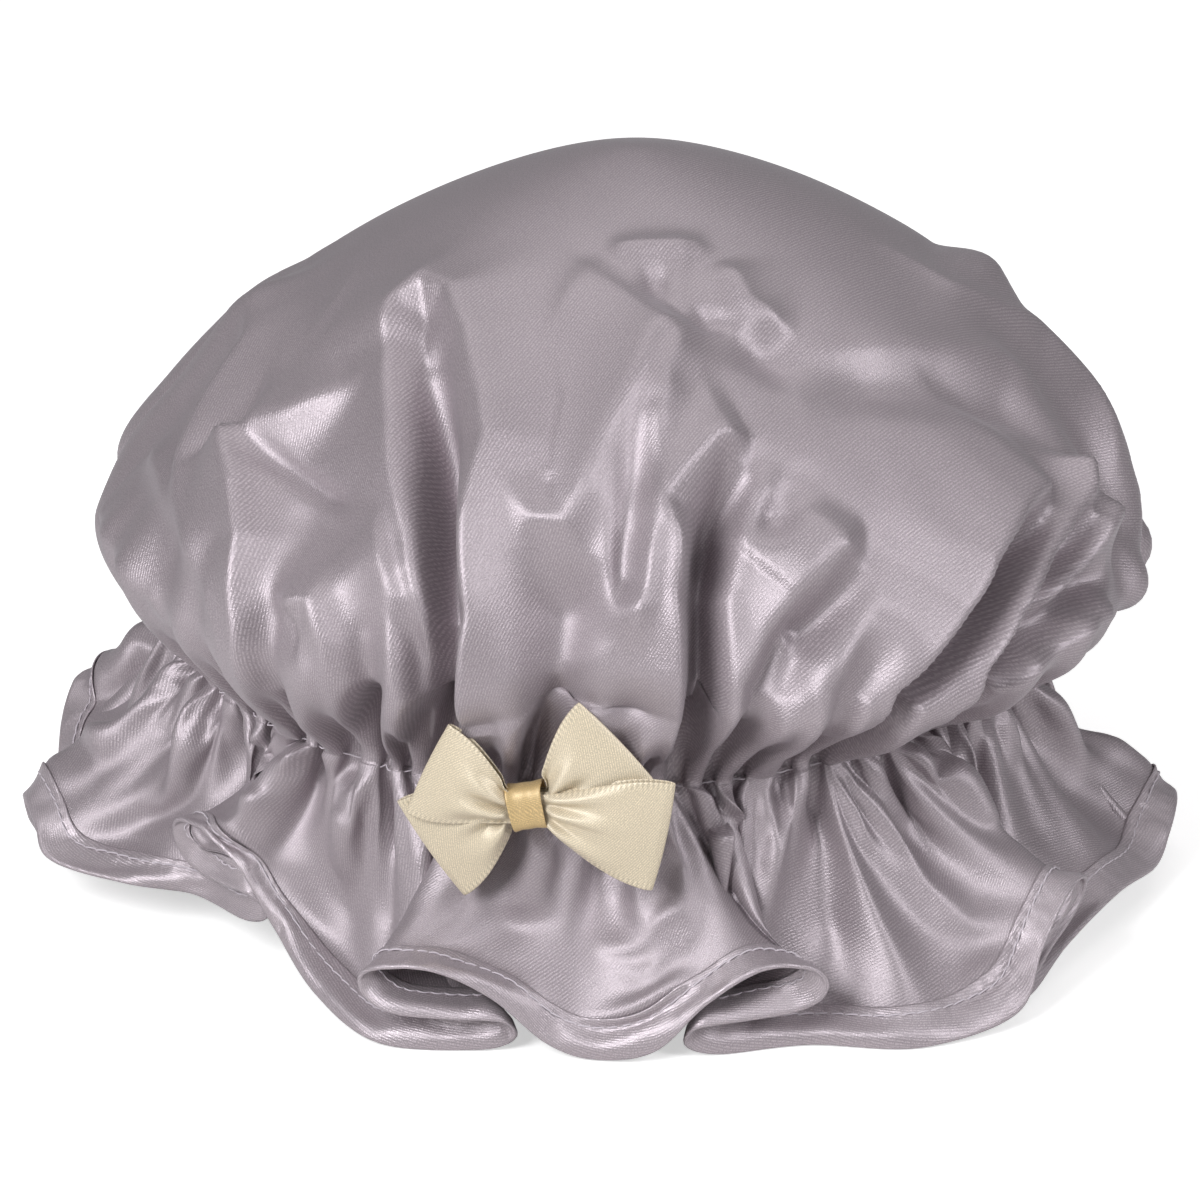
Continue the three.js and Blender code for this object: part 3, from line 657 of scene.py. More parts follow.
# where the hem is lifted or stands further out: azimuth and width in degrees, lift and push in mm
HEM_SHIFTS = [(-158, 18, 10, -3), (-134, 11, 8, -4), (-112, 8, 0, 6), (-54, 10, 0, 8), (-26, 14, 9, -3)]


def trough(flute, following):
    """Azimuth in radians, and radius, of the lowest place between two flutes."""
    gap = (following[0] - flute[0] + 0.5) % 1 - 0.5
    return (flute[0] + gap / 2) * TURN, HEM_RADIUS * (flute[4] + following[4]) / 2


def hem_controls():
    """Control points of the hem and the azimuth at the elastic that each one hangs from."""
    controls, hangs = [], []
    for i, flute in enumerate(FLUTES):
        place, lean, length, lift, radius = flute
        low, low_radius = trough(FLUTES[i - 1], flute)
        high, high_radius = trough(flute, FLUTES[(i + 1) % len(FLUTES)])
        low += TURN * round((place * TURN - low) / TURN)
        high += TURN * round((place * TURN - high) / TURN)
        r = HEM_RADIUS * radius
        size = CURL_LENGTH * length
        curl = CURL if lean > 0 else CURL[::-1]
        azimuth = place * TURN + lean * curl[:, 0] * size / r
        out = r + curl[:, 1] * size
        points = np.stack([out * np.cos(azimuth), out * np.sin(azimuth), curl[:, 2] * CURL_LIFT * lift], -1)
        first = np.array([[low_radius * np.cos(low), low_radius * np.sin(low), 0]])
        end = np.array([[high_radius * np.cos(high), high_radius * np.sin(high), 0]])
        points = np.concatenate([first, points])
        steps = np.linalg.norm(np.diff(np.concatenate([points, end]), axis=0), axis=1)
        reached = np.concatenate([[0], steps.cumsum()])
        controls.append(points)
        hangs.append(low + (high - low) * reached[:-1] / reached[-1])
    controls = np.concatenate(controls)
    degrees = np.degrees(np.arctan2(controls[:, 1], controls[:, 0]))
    for middle, width, lift, out in HEM_SHIFTS:
        near = np.exp(-(((degrees - middle) / width) ** 2))[:, None]
        moved = np.concatenate([unit(controls[:, :2]) * out, np.full((len(controls), 1), lift)], 1)
        controls = controls + near * moved * MM
    controls[:, 2] += FLOOR + 0.9 * MM
    return controls, np.concatenate(hangs)


def closed_spline(values, per_span):
    """Catmull-Rom through a closed row of values, per_span samples from each one to the next."""
    around = np.stack([np.roll(values, 1, 0), values, np.roll(values, -1, 0), np.roll(values, -2, 0)], 1)
    weights = catmull(np.arange(per_span) / per_span)
    return np.einsum("sk,nkd->nsd", weights, around).reshape(-1, values.shape[1])


def resample(values, count):
    """A closed row of points resampled evenly by the length of its first three columns."""
    closed = np.concatenate([values, values[:1]])
    reached = np.concatenate([[0], np.linalg.norm(np.diff(closed[:, :3], axis=0), axis=1).cumsum()])
    at = np.arange(count) / count * reached[-1]
    return np.stack([np.interp(at, reached, closed[:, k]) for k in range(closed.shape[1])], -1), reached[-1]


RUFFLE_COLUMNS = 864
controls, hangs = hem_controls()
unwound = np.unwrap(hangs)
drift = unwound - np.arange(len(unwound)) / len(unwound) * TURN
hem_data = closed_spline(np.concatenate([controls, drift[:, None]], 1), 16)
turns = np.arange(len(hem_data)) / len(hem_data) * TURN
hem_data[:, 3] += turns
hem_data = np.concatenate([hem_data[:, :3], np.cos(hem_data[:, 3:]), np.sin(hem_data[:, 3:])], 1)
hem, hem_length = resample(hem_data, RUFFLE_COLUMNS)
hang = np.unwrap(np.arctan2(hem[:, 4], hem[:, 3]))
hem = hem[:, :3]
print("hem", round(hem_length / MM), "mm long")


# %% [markdown]
# ## The ruffle's cloth
#
# Each column leaves the gathering line, swings out and meets the hem. The solver then lets the
# cloth between the two lines find its own shape, and its smallest ripples are evened out.

# %% Ruffle mesh
RUFFLE_ROWS = 28
RUFFLE_STEPS = np.linspace(0, 1, RUFFLE_ROWS)


def grid_frame(rows):
    """Outward normals and directions along each row of a closed grid whose rows go down."""
    along = unit(np.roll(rows, -1, 1) - np.roll(rows, 1, 1))
    down = unit(np.gradient(rows, axis=0))
    return unit(np.cross(down, along)), along


def row_lengths(rows):
    """Length of each closed row."""
    return np.linalg.norm(np.roll(rows, -1, 1) - rows, axis=2).sum(1)


def ruffle_start():
    """Rows from the gathering line to the hem. The flutes grow as v ** 0.8 down the ruffle, and
    what is still spare in a row's length stands in gathers, whose swing is found by halving."""
    v = RUFFLE_STEPS[:, None]
    radial = np.stack([np.cos(hang), np.sin(hang), np.zeros_like(hang)], -1)
    mean_radius = np.hypot(hem[:, 0], hem[:, 1]).mean()
    hem_base = radial * mean_radius + np.array([0, 0, FLOOR + 4 * MM])
    ring = radial * (GATHER_RADIUS + 0.8 * MM)
    base = ring + (hem_base - ring) * v[..., None] + (hem - hem_base) * (v**0.8)[..., None]
    normal, along = grid_frame(base)
    flat_length = TURN * (FLAT_GATHER + (FLAT_HEM - FLAT_GATHER) * RUFFLE_STEPS)
    fine = 1 - smooth(v, 0.08, 0.36)
    middle = smooth(v, 0.02, 0.25) * (1 - smooth(v, 0.35, 0.7))
    coarse = 0.35 * smooth(v, 0.25, 0.6) * (1 - smooth(v, 0.75, 0.97))
    total = np.maximum(1, np.sqrt(fine**2 + middle**2 + coarse**2))
    small_phase, small_depth = gather_phase(hang)
    middle_phase = small_phase / 2 + 0.8 * np.sin(7 * hang + 2)
    coarse_phase = small_phase / 4 + 0.9 * np.sin(5 * hang)
    grow = smooth(v, 0, 0.1)

    def waved(swing):
        rows = base
        for weight, phase, count, depth in (
            (fine, small_phase, GATHERS, small_depth),
            (middle, middle_phase, GATHERS / 2, 1),
            (coarse, coarse_phase, GATHERS / 4, 1),
        ):
            across, slide = meander(flat_length[:, None] / count, swing * weight / total, phase[None, :])
            rows = rows + normal * (across * depth * grow)[..., None] + along * (slide * grow)[..., None]
        return rows + (gather_line(hang) - ring) * (1 - grow)[..., None]

    low, high = np.zeros_like(v), np.full_like(v, 1.9)
    for _ in range(12):
        middle_swing = (low + high) / 2
        too_long = (row_lengths(waved(middle_swing)) > flat_length)[:, None]
        low, high = np.where(too_long, low, middle_swing), np.where(too_long, middle_swing, high)
    return waved(low)


ruffle_rows = ruffle_start()
flat_radius = (FLAT_GATHER + (FLAT_HEM - FLAT_GATHER) * RUFFLE_STEPS)[:, None]
flat_turn = (np.arange(RUFFLE_COLUMNS) / RUFFLE_COLUMNS * TURN)[None, :]
ruffle_flat = np.stack([flat_radius * np.cos(flat_turn), flat_radius * np.sin(flat_turn)], -1)
ruffle_pinned = np.zeros((RUFFLE_ROWS, RUFFLE_COLUMNS))
ruffle_pinned[0] = 1
ruffle_pinned[-1] = 1
ruffle_faces = grid_faces(RUFFLE_ROWS, RUFFLE_COLUMNS)


ruffle_settled = settle(
    "ruffle_start",
    ruffle_rows.reshape(-1, 3) + CENTRE,
    ruffle_faces,
    ruffle_flat.reshape(-1, 2),
    ruffle_pinned.ravel(),
    frames=16,
    gravity=0.5,
)
ruffle_grid = ruffle_settled.reshape(RUFFLE_ROWS, RUFFLE_COLUMNS, 3)
# satin is too stiff for the solver's smallest ripples: below the gathers they are evened out
calm = (0.5 * smooth(RUFFLE_STEPS, 0.22, 0.5) * (1 - smooth(RUFFLE_STEPS, 0.85, 1)))[:, None, None]
for _ in range(5):
    beside = (np.roll(ruffle_grid, 1, 1) + np.roll(ruffle_grid, -1, 1)) / 2
    ruffle_grid = ruffle_grid + calm * (beside - ruffle_grid)
ruffle_settled = ruffle_grid.reshape(-1, 3)
print("ruffle settled", np.round(ruffle_settled.min(0) / MM, 1), np.round(ruffle_settled.max(0) / MM, 1))
print("row lengths", np.round(row_lengths(ruffle_grid)[::3] / MM), "flat", np.round(flat_radius[::3, 0] * TURN / MM))

# %% [markdown]
# ## Along the ruffle
#
# The tape and the threads follow the settled ruffle. Any place on it is a column, a distance up
# from the hem along the cloth, and a distance out from its face.

# %% Sampling the ruffle
ruffle_normal, _ = grid_frame(ruffle_grid)
row_gap = (FLAT_HEM - FLAT_GATHER) / (RUFFLE_ROWS - 1)
hem_down = np.repeat(unit(ruffle_grid[-1] - ruffle_grid[-3])[None], 2, 0)


def on_ruffle(share, up, out):
    """Points at a share of the hem's length, up from its raw edge (past it where negative) and out."""
    column = share * RUFFLE_COLUMNS
    row = RUFFLE_ROWS - 1 - np.maximum(up, 0) / row_gap
    past = np.minimum(up, 0)[..., None]
    down = sample(hem_down, row * 0, column)
    spot = sample(ruffle_grid, row, column) - down * past
    spot = spot + unit(sample(ruffle_normal, row, column)) * np.asarray(out)[..., None]
    spot[..., 2] = np.maximum(spot[..., 2], 0.15 * MM)
    return spot


# %% [markdown]
# ## Hem tape and its stitches
#
# The tape is folded over the raw edge and stitched through near its upper edge. It puckers a
# little between the stitches, and unevenly along its length.

# %% Hem tape
TAPE_COLUMNS = 1962
STITCH = 3.3 * MM
stitches = int(round(hem_length / STITCH))
# up from the raw edge and out from the cloth, mm, from the outside's upper edge round to the inside's
TAPE_SECTION = np.array([
    [9.0, 0.08], [9.3, 0.2], [9.3, 0.42], [8.9, 0.56], [7.9, 0.50], [7.0, 0.44], [6.0, 0.50], [4.6, 0.54],
    [3.2, 0.54], [1.8, 0.56], [0.6, 0.60], [-0.1, 0.54], [-0.45, 0.32], [-0.6, 0.0], [-0.45, -0.32], [-0.1, -0.54],
    [0.6, -0.60], [2.0, -0.56], [3.8, -0.54], [5.6, -0.50], [7.0, -0.44], [8.2, -0.50], [8.8, -0.4], [8.8, -0.12],
]) * MM


def soft_noise(share, cells, seed):
    """Smooth closed noise from -1 to 1 along the hem, one random value for each cell."""
    values = np.random.default_rng(seed).uniform(-1, 1, cells)
    x = share * cells
    k = np.floor(x).astype(int)
    u = smooth(x - k, 0, 1)
    return values[k % cells] * (1 - u) + values[(k + 1) % cells] * u


share = (np.arange(TAPE_COLUMNS) / TAPE_COLUMNS)[None, :]
up, out = TAPE_SECTION[:, :1], TAPE_SECTION[:, 1:]
face = np.sign(out) * smooth(np.abs(out), 0.2 * MM, 0.5 * MM)
body = smooth(up, 0.2 * MM, 2 * MM) * (1 - smooth(up, 8.2 * MM, 9.2 * MM))
pucker = 0.22 * soft_noise(share + up / (7 * hem_length), 260, 3)
pucker = pucker + 0.16 * soft_noise(share - up / (5 * hem_length), 420, 4)
pull = 0.14 * np.cos(TURN * stitches * share) * np.exp(-(((up - 7.2 * MM) / (1.1 * MM)) ** 2))
tape_points = on_ruffle(share + up * 0, up + share * 0, out + face * body * (pucker + pull) * MM)
section_length = np.concatenate([[0], np.linalg.norm(np.diff(TAPE_SECTION, axis=0), axis=1).cumsum()])
tape_uv = np.stack(np.broadcast_arrays(share * hem_length, section_length[:, None]), -1).reshape(-1, 2) * 10
tape_faces = grid_faces(len(TAPE_SECTION), TAPE_COLUMNS)
tape_faces = [f[::-1] for f in tape_faces]


def tube(points, radius, sides=6):
    """Points and faces of a closed thread tube along a closed line. Its sections keep one side to the axis."""
    along = unit(np.roll(points, -1, 0) - np.roll(points, 1, 0))
    side = points - CENTRE
    side[:, 2] += 20 * MM
    first = unit(side - along * (side * along).sum(1, keepdims=True))
    second = np.cross(along, first)
    a = (np.arange(sides) / sides * TURN)[None, :, None]
    ring = points[:, None] + radius * (first[:, None] * np.cos(a) + second[:, None] * np.sin(a))
    return ring.reshape(-1, 3), grid_faces(len(points), sides, closed_rows=True)


def hem_stitches(side):
    """The seam's line on one side: dashes on the outside, slack little scallops on the inside."""
    steps = 10
    n = stitches * steps
    share = np.arange(n) / n
    u = (np.arange(n) % steps) / steps
    lift = np.sqrt(np.abs(np.sin(np.pi * u)))
    slant = 0.25 * (u - 0.5) if side > 0 else -0.55 * np.sin(np.pi * u)
    wander = 0.18 * soft_noise(share, 180, 9)
    return on_ruffle(share, (7.15 + slant + wander) * MM, side * (0.36 + 0.34 * lift) * MM)


needle_points, needle_faces = tube(hem_stitches(1), 0.19 * MM)
bobbin_points, bobbin_faces = tube(hem_stitches(-1), 0.19 * MM)
print(stitches, "stitches of", STITCH / MM, "mm")

# %% [markdown]
# ## The elastic
#
# It lies inside, along the line where crown and ruffle meet. One row of stitches holds it, so the
# thread shows between the gathers.

# %% Elastic
ELASTIC_COLUMNS = 720
elastic_turn = (np.arange(ELASTIC_COLUMNS) / ELASTIC_COLUMNS * TURN)[None, :]
# height and depth of the band's section in mm
ELASTIC_SECTION = np.array([
    [2.9, 0.0], [3.0, 0.3], [2.7, 0.55], [1.8, 0.45], [0.9, 0.6], [0.0, 0.45], [-0.9, 0.6], [-1.8, 0.45],
    [-2.7, 0.55], [-3.0, 0.3], [-2.9, 0.0], [-2.7, -0.25], [0.0, -0.2], [2.7, -0.25],
]) * MM
inside = GATHER_RADIUS - 2.6 * MM - 0.12 * MM * np.cos(240 * elastic_turn)
elastic_radius = inside - ELASTIC_SECTION[:, 1:]
elastic_points = np.stack(
    np.broadcast_arrays(
        elastic_radius * np.cos(elastic_turn), elastic_radius * np.sin(elastic_turn), ELASTIC_SECTION[:, :1]
    ),
    -1,
).reshape(-1, 3)
elastic_faces = grid_faces(len(ELASTIC_SECTION), ELASTIC_COLUMNS, closed_rows=True)
elastic_faces = [f[::-1] for f in elastic_faces]


def gather_stitches(side):
    """The elastic's seam: on the outside the thread bridges the gathers, on the inside it lies on the elastic."""
    n = 2880
    turn = np.arange(n) / n * TURN
    u = (np.arange(n) % 16) / 16
    lift = np.abs(np.sin(np.pi * u))
    loose = 0.5 + 0.5 * soft_noise(turn / TURN, 150, 12)
    if side > 0:
        radius = GATHER_RADIUS + (0.4 + 1.6 * lift * loose) * MM
        height = 0.9 * np.sin(TURN * turn * 28 / TURN) * lift * loose * MM
    else:
        radius = GATHER_RADIUS - (3.2 + 0.35 * lift) * MM
        height = 0.2 * soft_noise(turn / TURN, 90, 13) * MM
    return np.stack([radius * np.cos(turn), radius * np.sin(turn), height + 0 * turn], -1)


seam_out_points, seam_out_faces = tube(gather_stitches(1) + CENTRE, 0.17 * MM)
seam_in_points, seam_in_faces = tube(gather_stitches(-1) + CENTRE, 0.17 * MM)

# %% [markdown]
# ## The bow
#
# Two loops of 25 mm ribbon are pressed flat and crossed, and a short gold band draws them
# together. Each loop runs out along the front of one petal, back behind it, and round the other
# petal. Near the knot the ribbon's width is pleated into 7 mm.

# %% Bow
# where the bow sits: azimuth, distance from the axis, and height above the gathering line in mm
BOW_TURN = np.radians(-98)
BOW_RADIUS = 106.5 * MM
BOW_LIFT = 2.7
RIBBON_WIDTH = 25
KNOT_HALF = 3.5
KNOT_TURN = np.radians(12)
PINCH = 7.0
# right petal, left petal: direction in degrees, length, width at the end and how far the front layer
# puffs, in mm; and how far in front of the knot's middle the loop's two layers lie, in mm
BOW_LOOPS = {
    "bow_front_ribbon": ((-11, 29, 25, 3.2), (156, 22.5, 22.5, 3), 1.95, 0.65),
    "bow_back_ribbon": ((43, 24.5, 24.5, 2.8), (214, 24.5, 25, 2.8), -0.65, -1.95),
}


def petal_layer(petal, s, across, front, base):
    """Points of one layer of a petal: s from the knot to the end, across from -1 to 1. Pleats
    |cos| fade out along it, and the layer puffs as sin(pi s)."""
    degrees, length, width, puff = petal
    angle = np.radians(degrees)
    side = np.sign(np.cos(angle))
    free = s * length
    open_share = np.clip((free - KNOT_HALF) / (length - KNOT_HALF), 0, 1)
    level = np.minimum(free, KNOT_HALF)
    beyond = free - level
    turned = smooth(beyond, 0, 5)
    lean = angle if side > 0 else angle - np.pi
    tilt = lean * turned
    half = (PINCH + (width - PINCH) * np.sin(open_share * np.pi / 2) ** 1.15) / 2
    bow_out = 0.6 * width / 25 * open_share**2 * (1 - across**2)
    x = side * level + (beyond + bow_out) * np.cos(angle) - across * half * np.sin(tilt)
    z = (beyond + bow_out) * np.sin(angle) + across * half * np.cos(tilt)
    pleat = (1 - smooth(open_share, 0.05, 0.75)) * (0.2 + 0.8 * smooth(open_share, 0, 0.1))
    crease = np.exp(-((across + 0.12) / 0.13) ** 2) * np.exp(-((open_share - 0.22) / 0.26) ** 2)
    swell = puff * np.sin(np.pi * np.clip(open_share, 0, 1) ** 0.8) * (1 - 0.75 * across**2)
    ripple = 1.25 * np.sin(2.6 * np.pi * across + degrees) * pleat
    out = base + front * (swell * 0.9 - 1.2 * crease) + ripple
    return np.stack([x, -out, z], -1)


def ribbon_loop(right, left, front, back):
    """The whole loop as a closed strip: right petal out and back, then left petal out and back."""
    s = np.concatenate([np.linspace(0, 0.94, 40), 1 - 0.06 * np.cos(np.linspace(0, np.pi / 2, 7)[1:])])
    across = np.linspace(-1, 1, 25)[None, :]
    strips = []
    for petal, leave, arrive in ((right, front, back), (left, back, front)):
        rim = np.sqrt(np.clip((1 - s) / 0.06, 0, 1))[:, None]
        middle = (leave + arrive) / 2
        for base, order in ((leave, slice(None)), (arrive, slice(None, None, -1))):
            level = middle + (base - middle) * np.where(s[:, None] > 0.94, rim, 1)
            is_front = 1.0 if base == front else 0.25
            layer = petal_layer(petal, s[:, None], across, is_front * rim**0.5, level)
            strips.append(layer[order][:-1] if base == leave else layer[order])
    return np.concatenate(strips)


def place_bow(points):
    """From the bow's own frame (x right, z up, -y outwards, mm) to the row frame."""
    x, y, z = np.moveaxis(points, -1, 0)
    turn = BOW_TURN + np.pi / 2
    x, y = x * np.cos(turn) - y * np.sin(turn), x * np.sin(turn) + y * np.cos(turn)
    spot = np.stack([x, y, z + BOW_LIFT], -1) * MM
    return spot + CENTRE + BOW_RADIUS * np.array([np.cos(BOW_TURN), np.sin(BOW_TURN), 0])


def knot_band():
    """The band round the middle: a squarish ring, a little waisted and creased along its length."""
    angle = np.arange(72) / 72 * TURN
    across = np.linspace(-1, 1, 17)
    squared = lambda value: np.sign(value) * np.abs(value) ** 0.6
    half_depth, half_height = 3.3 + 0.25 * across**2, 4.75 - 0.25 * (1 - across**2)
    crease = 0.05 * np.cos(2.2 * np.pi * across + 0.6)
    y = -squared(np.sin(angle))[:, None] * (half_depth + crease)[None, :]
    z = squared(np.cos(angle))[:, None] * (half_height + crease)[None, :]
    x = np.broadcast_to(across * 3.7 * (1 + 0.05 * np.cos(angle)[:, None]), y.shape)
    cos, sin = np.cos(KNOT_TURN), np.sin(KNOT_TURN)
    return np.stack([x * cos - z * sin, y, x * sin + z * cos], -1)


# %% [markdown]
# ## Materials
#
# The cap is one satin, and its tape and ribbons are closer woven ones. Threads and elastic are matt
# yarn. Every pattern has its real size, or the coarsest that still shows as what it is.

# %% Materials
def node(tree, kind, links=(), **values):
    """One new node. values set its properties or inputs by name, and links join sockets to its inputs."""
    n = tree.nodes.new(kind)
    for key, value in values.items():
        name = key.replace("_", " ")
        if name in n.inputs:
            n.inputs[name].default_value = value
        else:
            setattr(n, key, value)
    for key, socket in dict(links).items():
        tree.links.new(socket, n.inputs[key])
    return n


def new_material(name):
    """An empty node material."""
    material = bpy.data.materials.new(name)
    material.use_nodes = True
    tree = material.node_tree
    tree.nodes.clear()
    return material, tree


def satin_cloth(name, colour, thread_mm, angle, roughness=0.43, metallic=0.46, relief=0.6, blotch=0.04,
                selvage_mm=0):
    """Satin: long floats lie side by side, so its shine is a soft streak across them, and fine
    diagonal lines show where they are tied down. The lines and a fine noise make the bump, and
    both are also painted into the colour, the noise as painted sparkle specks. thread_mm is the distance
    between those lines, about twice the real one, which is too fine to show. With selvage_mm, half the
    ribbon's width, its edges are woven bands."""
    material, tree = new_material(name)
    place = node(tree, "ShaderNodeUVMap", uv_map="pattern")
    turned = node(tree, "ShaderNodeMapping", [("Vector", place.outputs[0])], Rotation=(0, 0, angle))
    # a Wave texture repeats every 0.314 / scale, and the UVs are ten times the cloth's metres
    lines = node(tree, "ShaderNodeTexWave", [("Vector", turned.outputs[0])], Scale=31.4 / thread_mm,
                 Distortion=1.2, Detail=1.0, Detail_Scale=1.5)
    grain = node(tree, "ShaderNodeTexNoise", [("Vector", turned.outputs[0])], Scale=180 / thread_mm, Detail=1.0)
    cloud = node(tree, "ShaderNodeTexNoise", [("Vector", place.outputs[0])], Scale=9.0, Detail=3.0)
    softer = node(tree, "ShaderNodeMapRange", [("Value", lines.outputs["Fac"])], To_Min=0.2)
    # painted sparkle: this fine noise puts light and dark specks into the colour for the glitter in the shine; it
    # also roughens the bump
    grain_and_painted_glints = node(tree, "ShaderNodeMapRange", [("Value", grain.outputs["Fac"])], From_Min=0.3, From_Max=0.7)
    weave_and_painted_glints = node(tree, "ShaderNodeMath", [(0, softer.outputs[0]), (1, grain_and_painted_glints.outputs[0])], operation="MULTIPLY")
    # tone of the colour, 0.74 to 1.25, from the diagonal lines and the painted sparkle
    weave_tone_and_painted_glints = node(tree, "ShaderNodeMapRange", [("Value", weave_and_painted_glints.outputs[0])], From_Max=0.8, To_Min=0.74,
                 To_Max=1.25)
    mottle = node(tree, "ShaderNodeMapRange", [("Value", cloud.outputs["Fac"])], To_Min=1 - blotch,
                  To_Max=1 + blotch)
    both = node(tree, "ShaderNodeMath", [(0, weave_tone_and_painted_glints.outputs[0]), (1, mottle.outputs[0])], operation="MULTIPLY")
    height, brightness = weave_and_painted_glints.outputs[0], both.outputs[0]
    if selvage_mm:
        # a ribbon's woven edge: a narrow flat band with a row of small loops 1.1 mm apart
        parts = node(tree, "ShaderNodeSeparateXYZ", [("Vector", place.outputs[0])])
        aside = node(tree, "ShaderNodeMath", [(0, parts.outputs["Y"])], operation="ABSOLUTE")
        band = node(tree, "ShaderNodeMapRange", [("Value", aside.outputs[0])],
                    From_Min=(selvage_mm - 1.9) / 100, From_Max=(selvage_mm - 1.3) / 100)
        along = node(tree, "ShaderNodeMath", [(0, parts.outputs["X"])], operation="MULTIPLY")
        along.inputs[1].default_value = TURN / 0.011
        row = node(tree, "ShaderNodeMath", [(0, along.outputs[0])], operation="SINE").outputs[0]
        loop = node(tree, "ShaderNodeMath", [(0, row), (1, band.outputs[0])], operation="MULTIPLY").outputs[0]
        height = node(tree, "ShaderNodeMath", [(0, loop), (1, height)], operation="ADD").outputs[0]
        shaded = node(tree, "ShaderNodeMath", [(0, loop), (2, brightness)], operation="MULTIPLY_ADD")
        shaded.inputs[1].default_value = 0.12
        brightness = shaded.outputs[0]
    tint = node(tree, "ShaderNodeVectorMath", [("Scale", brightness)], operation="SCALE")
    tint.inputs[0].default_value = linear(colour)[:3]
    bump = node(tree, "ShaderNodeBump", [("Height", height)], Strength=relief, Distance=0.00008)
    tangent = node(tree, "ShaderNodeTangent", direction_type="UV_MAP", uv_map="pattern")
    shader = node(
        tree,
        "ShaderNodeBsdfPrincipled",
        [("Base Color", tint.outputs[0]), ("Normal", bump.outputs[0]), ("Tangent", tangent.outputs[0])],
        Roughness=roughness,
        Metallic=metallic,
        IOR=1.6,
        Specular_Tint=(0.92, 0.96, 1, 1),
        Anisotropic=0.6,
        Sheen_Weight=0.1,
        Sheen_Roughness=0.4,
    )
    node(tree, "ShaderNodeOutputMaterial", [("Surface", shader.outputs[0])])
    return material


def spun_cloth(name, colour, pitch_mm, roughness=0.7):
    """Matt yarn, with a fine grain of the given pitch on Object coordinates."""
    material, tree = new_material(name)
    place = node(tree, "ShaderNodeTexCoord")
    grain = node(tree, "ShaderNodeTexNoise", [("Vector", place.outputs["Object"])], Scale=500 / pitch_mm,
                 Detail=1.0)
    bump = node(tree, "ShaderNodeBump", [("Height", grain.outputs["Fac"])], Strength=0.4, Distance=0.0001)
    shader = node(tree, "ShaderNodeBsdfPrincipled", [("Normal", bump.outputs[0])], Roughness=roughness,
                  Sheen_Weight=0.3)
    shader.inputs["Base Color"].default_value = linear(colour)
    node(tree, "ShaderNodeOutputMaterial", [("Surface", shader.outputs[0])])
    return material


# Polyester satin, woven. Its face gives a broad silky shine, and its hollows turn warm and dark.
satin = satin_cloth("polyester satin", "a79ca1", 0.7, np.radians(35), roughness=0.46, relief=0.7)
# The same satin cut as a bias tape: pressed flat, it is a little shinier.
tape_satin = satin_cloth("satin bias tape", "b0a5aa", 0.6, np.radians(80), roughness=0.42)
# Spun polyester sewing thread, paler than the cloth, with a dull surface.
thread = spun_cloth("spun polyester thread", "bdb4bb", 0.2)
# Braided elastic: matt off-white yarn over rubber cores.
elastic_braid = spun_cloth("braided elastic", "e4e0dd", 0.5, 0.8)
# Ivory polyester satin ribbon: closer woven than the cap, so smoother and brighter.
ivory_ribbon = satin_cloth("ivory satin ribbon", "d3c5ac", 0.5, np.radians(30), metallic=0.15, relief=0.4,
                           blotch=0.02, selvage_mm=RIBBON_WIDTH / 2)
# Gold satin ribbon of the knot: deeper in colour, with the same close weave.
gold_ribbon = satin_cloth("gold satin ribbon", "c2a674", 0.5, np.radians(30), metallic=0.2, relief=0.3,
                          blotch=0.02)

# %% [markdown]
# ## The pieces
#
# Each piece rides the cap's one body and takes the place of one CAD node.

# %% Pieces
def add_piece(name, points, faces, material, cad, uv=None, levels=0, thick=0.0):
    """A finished piece of the cap: its mesh, material, place in the frame and CAD node."""
    obj = mesh_object(name, np.asarray(points).reshape(-1, 3), faces, uv)
    obj.data.materials.append(material)
    if thick:
        wall = obj.modifiers.new("wall", "SOLIDIFY")
        wall.thickness = thick
        wall.offset = 0
    if levels:
        sub = obj.modifiers.new("smooth", "SUBSURF")
        sub.levels = sub.render_levels = levels
    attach(obj, "root")
    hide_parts(cad)
    return obj


crown = add_piece("crown_cloth", crown_cloth, crown_faces, satin, "crown", flat * 10)
ruffle_uv = ruffle_flat.reshape(-1, 2) * 10
ruffle = add_piece("ruffle_cloth", ruffle_settled, ruffle_faces, satin, "ruffle", ruffle_uv, 1)
tape = add_piece("hem_tape", tape_points, tape_faces, tape_satin, "hem_binding", tape_uv)
needle = add_piece("hem_needle_stitches", needle_points, needle_faces, thread, "hem_needle_thread")
bobbin = add_piece("hem_bobbin_stitches", bobbin_points, bobbin_faces, thread, "hem_bobbin_thread")
elastic = add_piece("elastic_braid", elastic_points + CENTRE, elastic_faces, elastic_braid, "elastic_band")
add_piece("elastic_needle_stitches", seam_out_points, seam_out_faces, thread, "elastic_needle_thread")
add_piece("elastic_bobbin_stitches", seam_in_points, seam_in_faces, thread, "elastic_bobbin_thread")

for name, (right, left, front, back) in BOW_LOOPS.items():
    strip = ribbon_loop(right, left, front, back)
    run = np.concatenate([[0], np.linalg.norm(np.diff(strip[:, 12], axis=0), axis=1).cumsum()])
    wide = np.linspace(-RIBBON_WIDTH / 2, RIBBON_WIDTH / 2, 25)
    uv = np.stack(np.broadcast_arrays(run[:, None], wide[None, :]), -1).reshape(-1, 2) * MM * 10
    faces = grid_faces(len(strip), 25, closed_rows=True, closed_columns=False)
    add_piece(name + "_loop", place_bow(strip), faces, ivory_ribbon, name, uv, 1, 0.25 * MM)
    print(name, "loop", round(run[-1]), "mm")

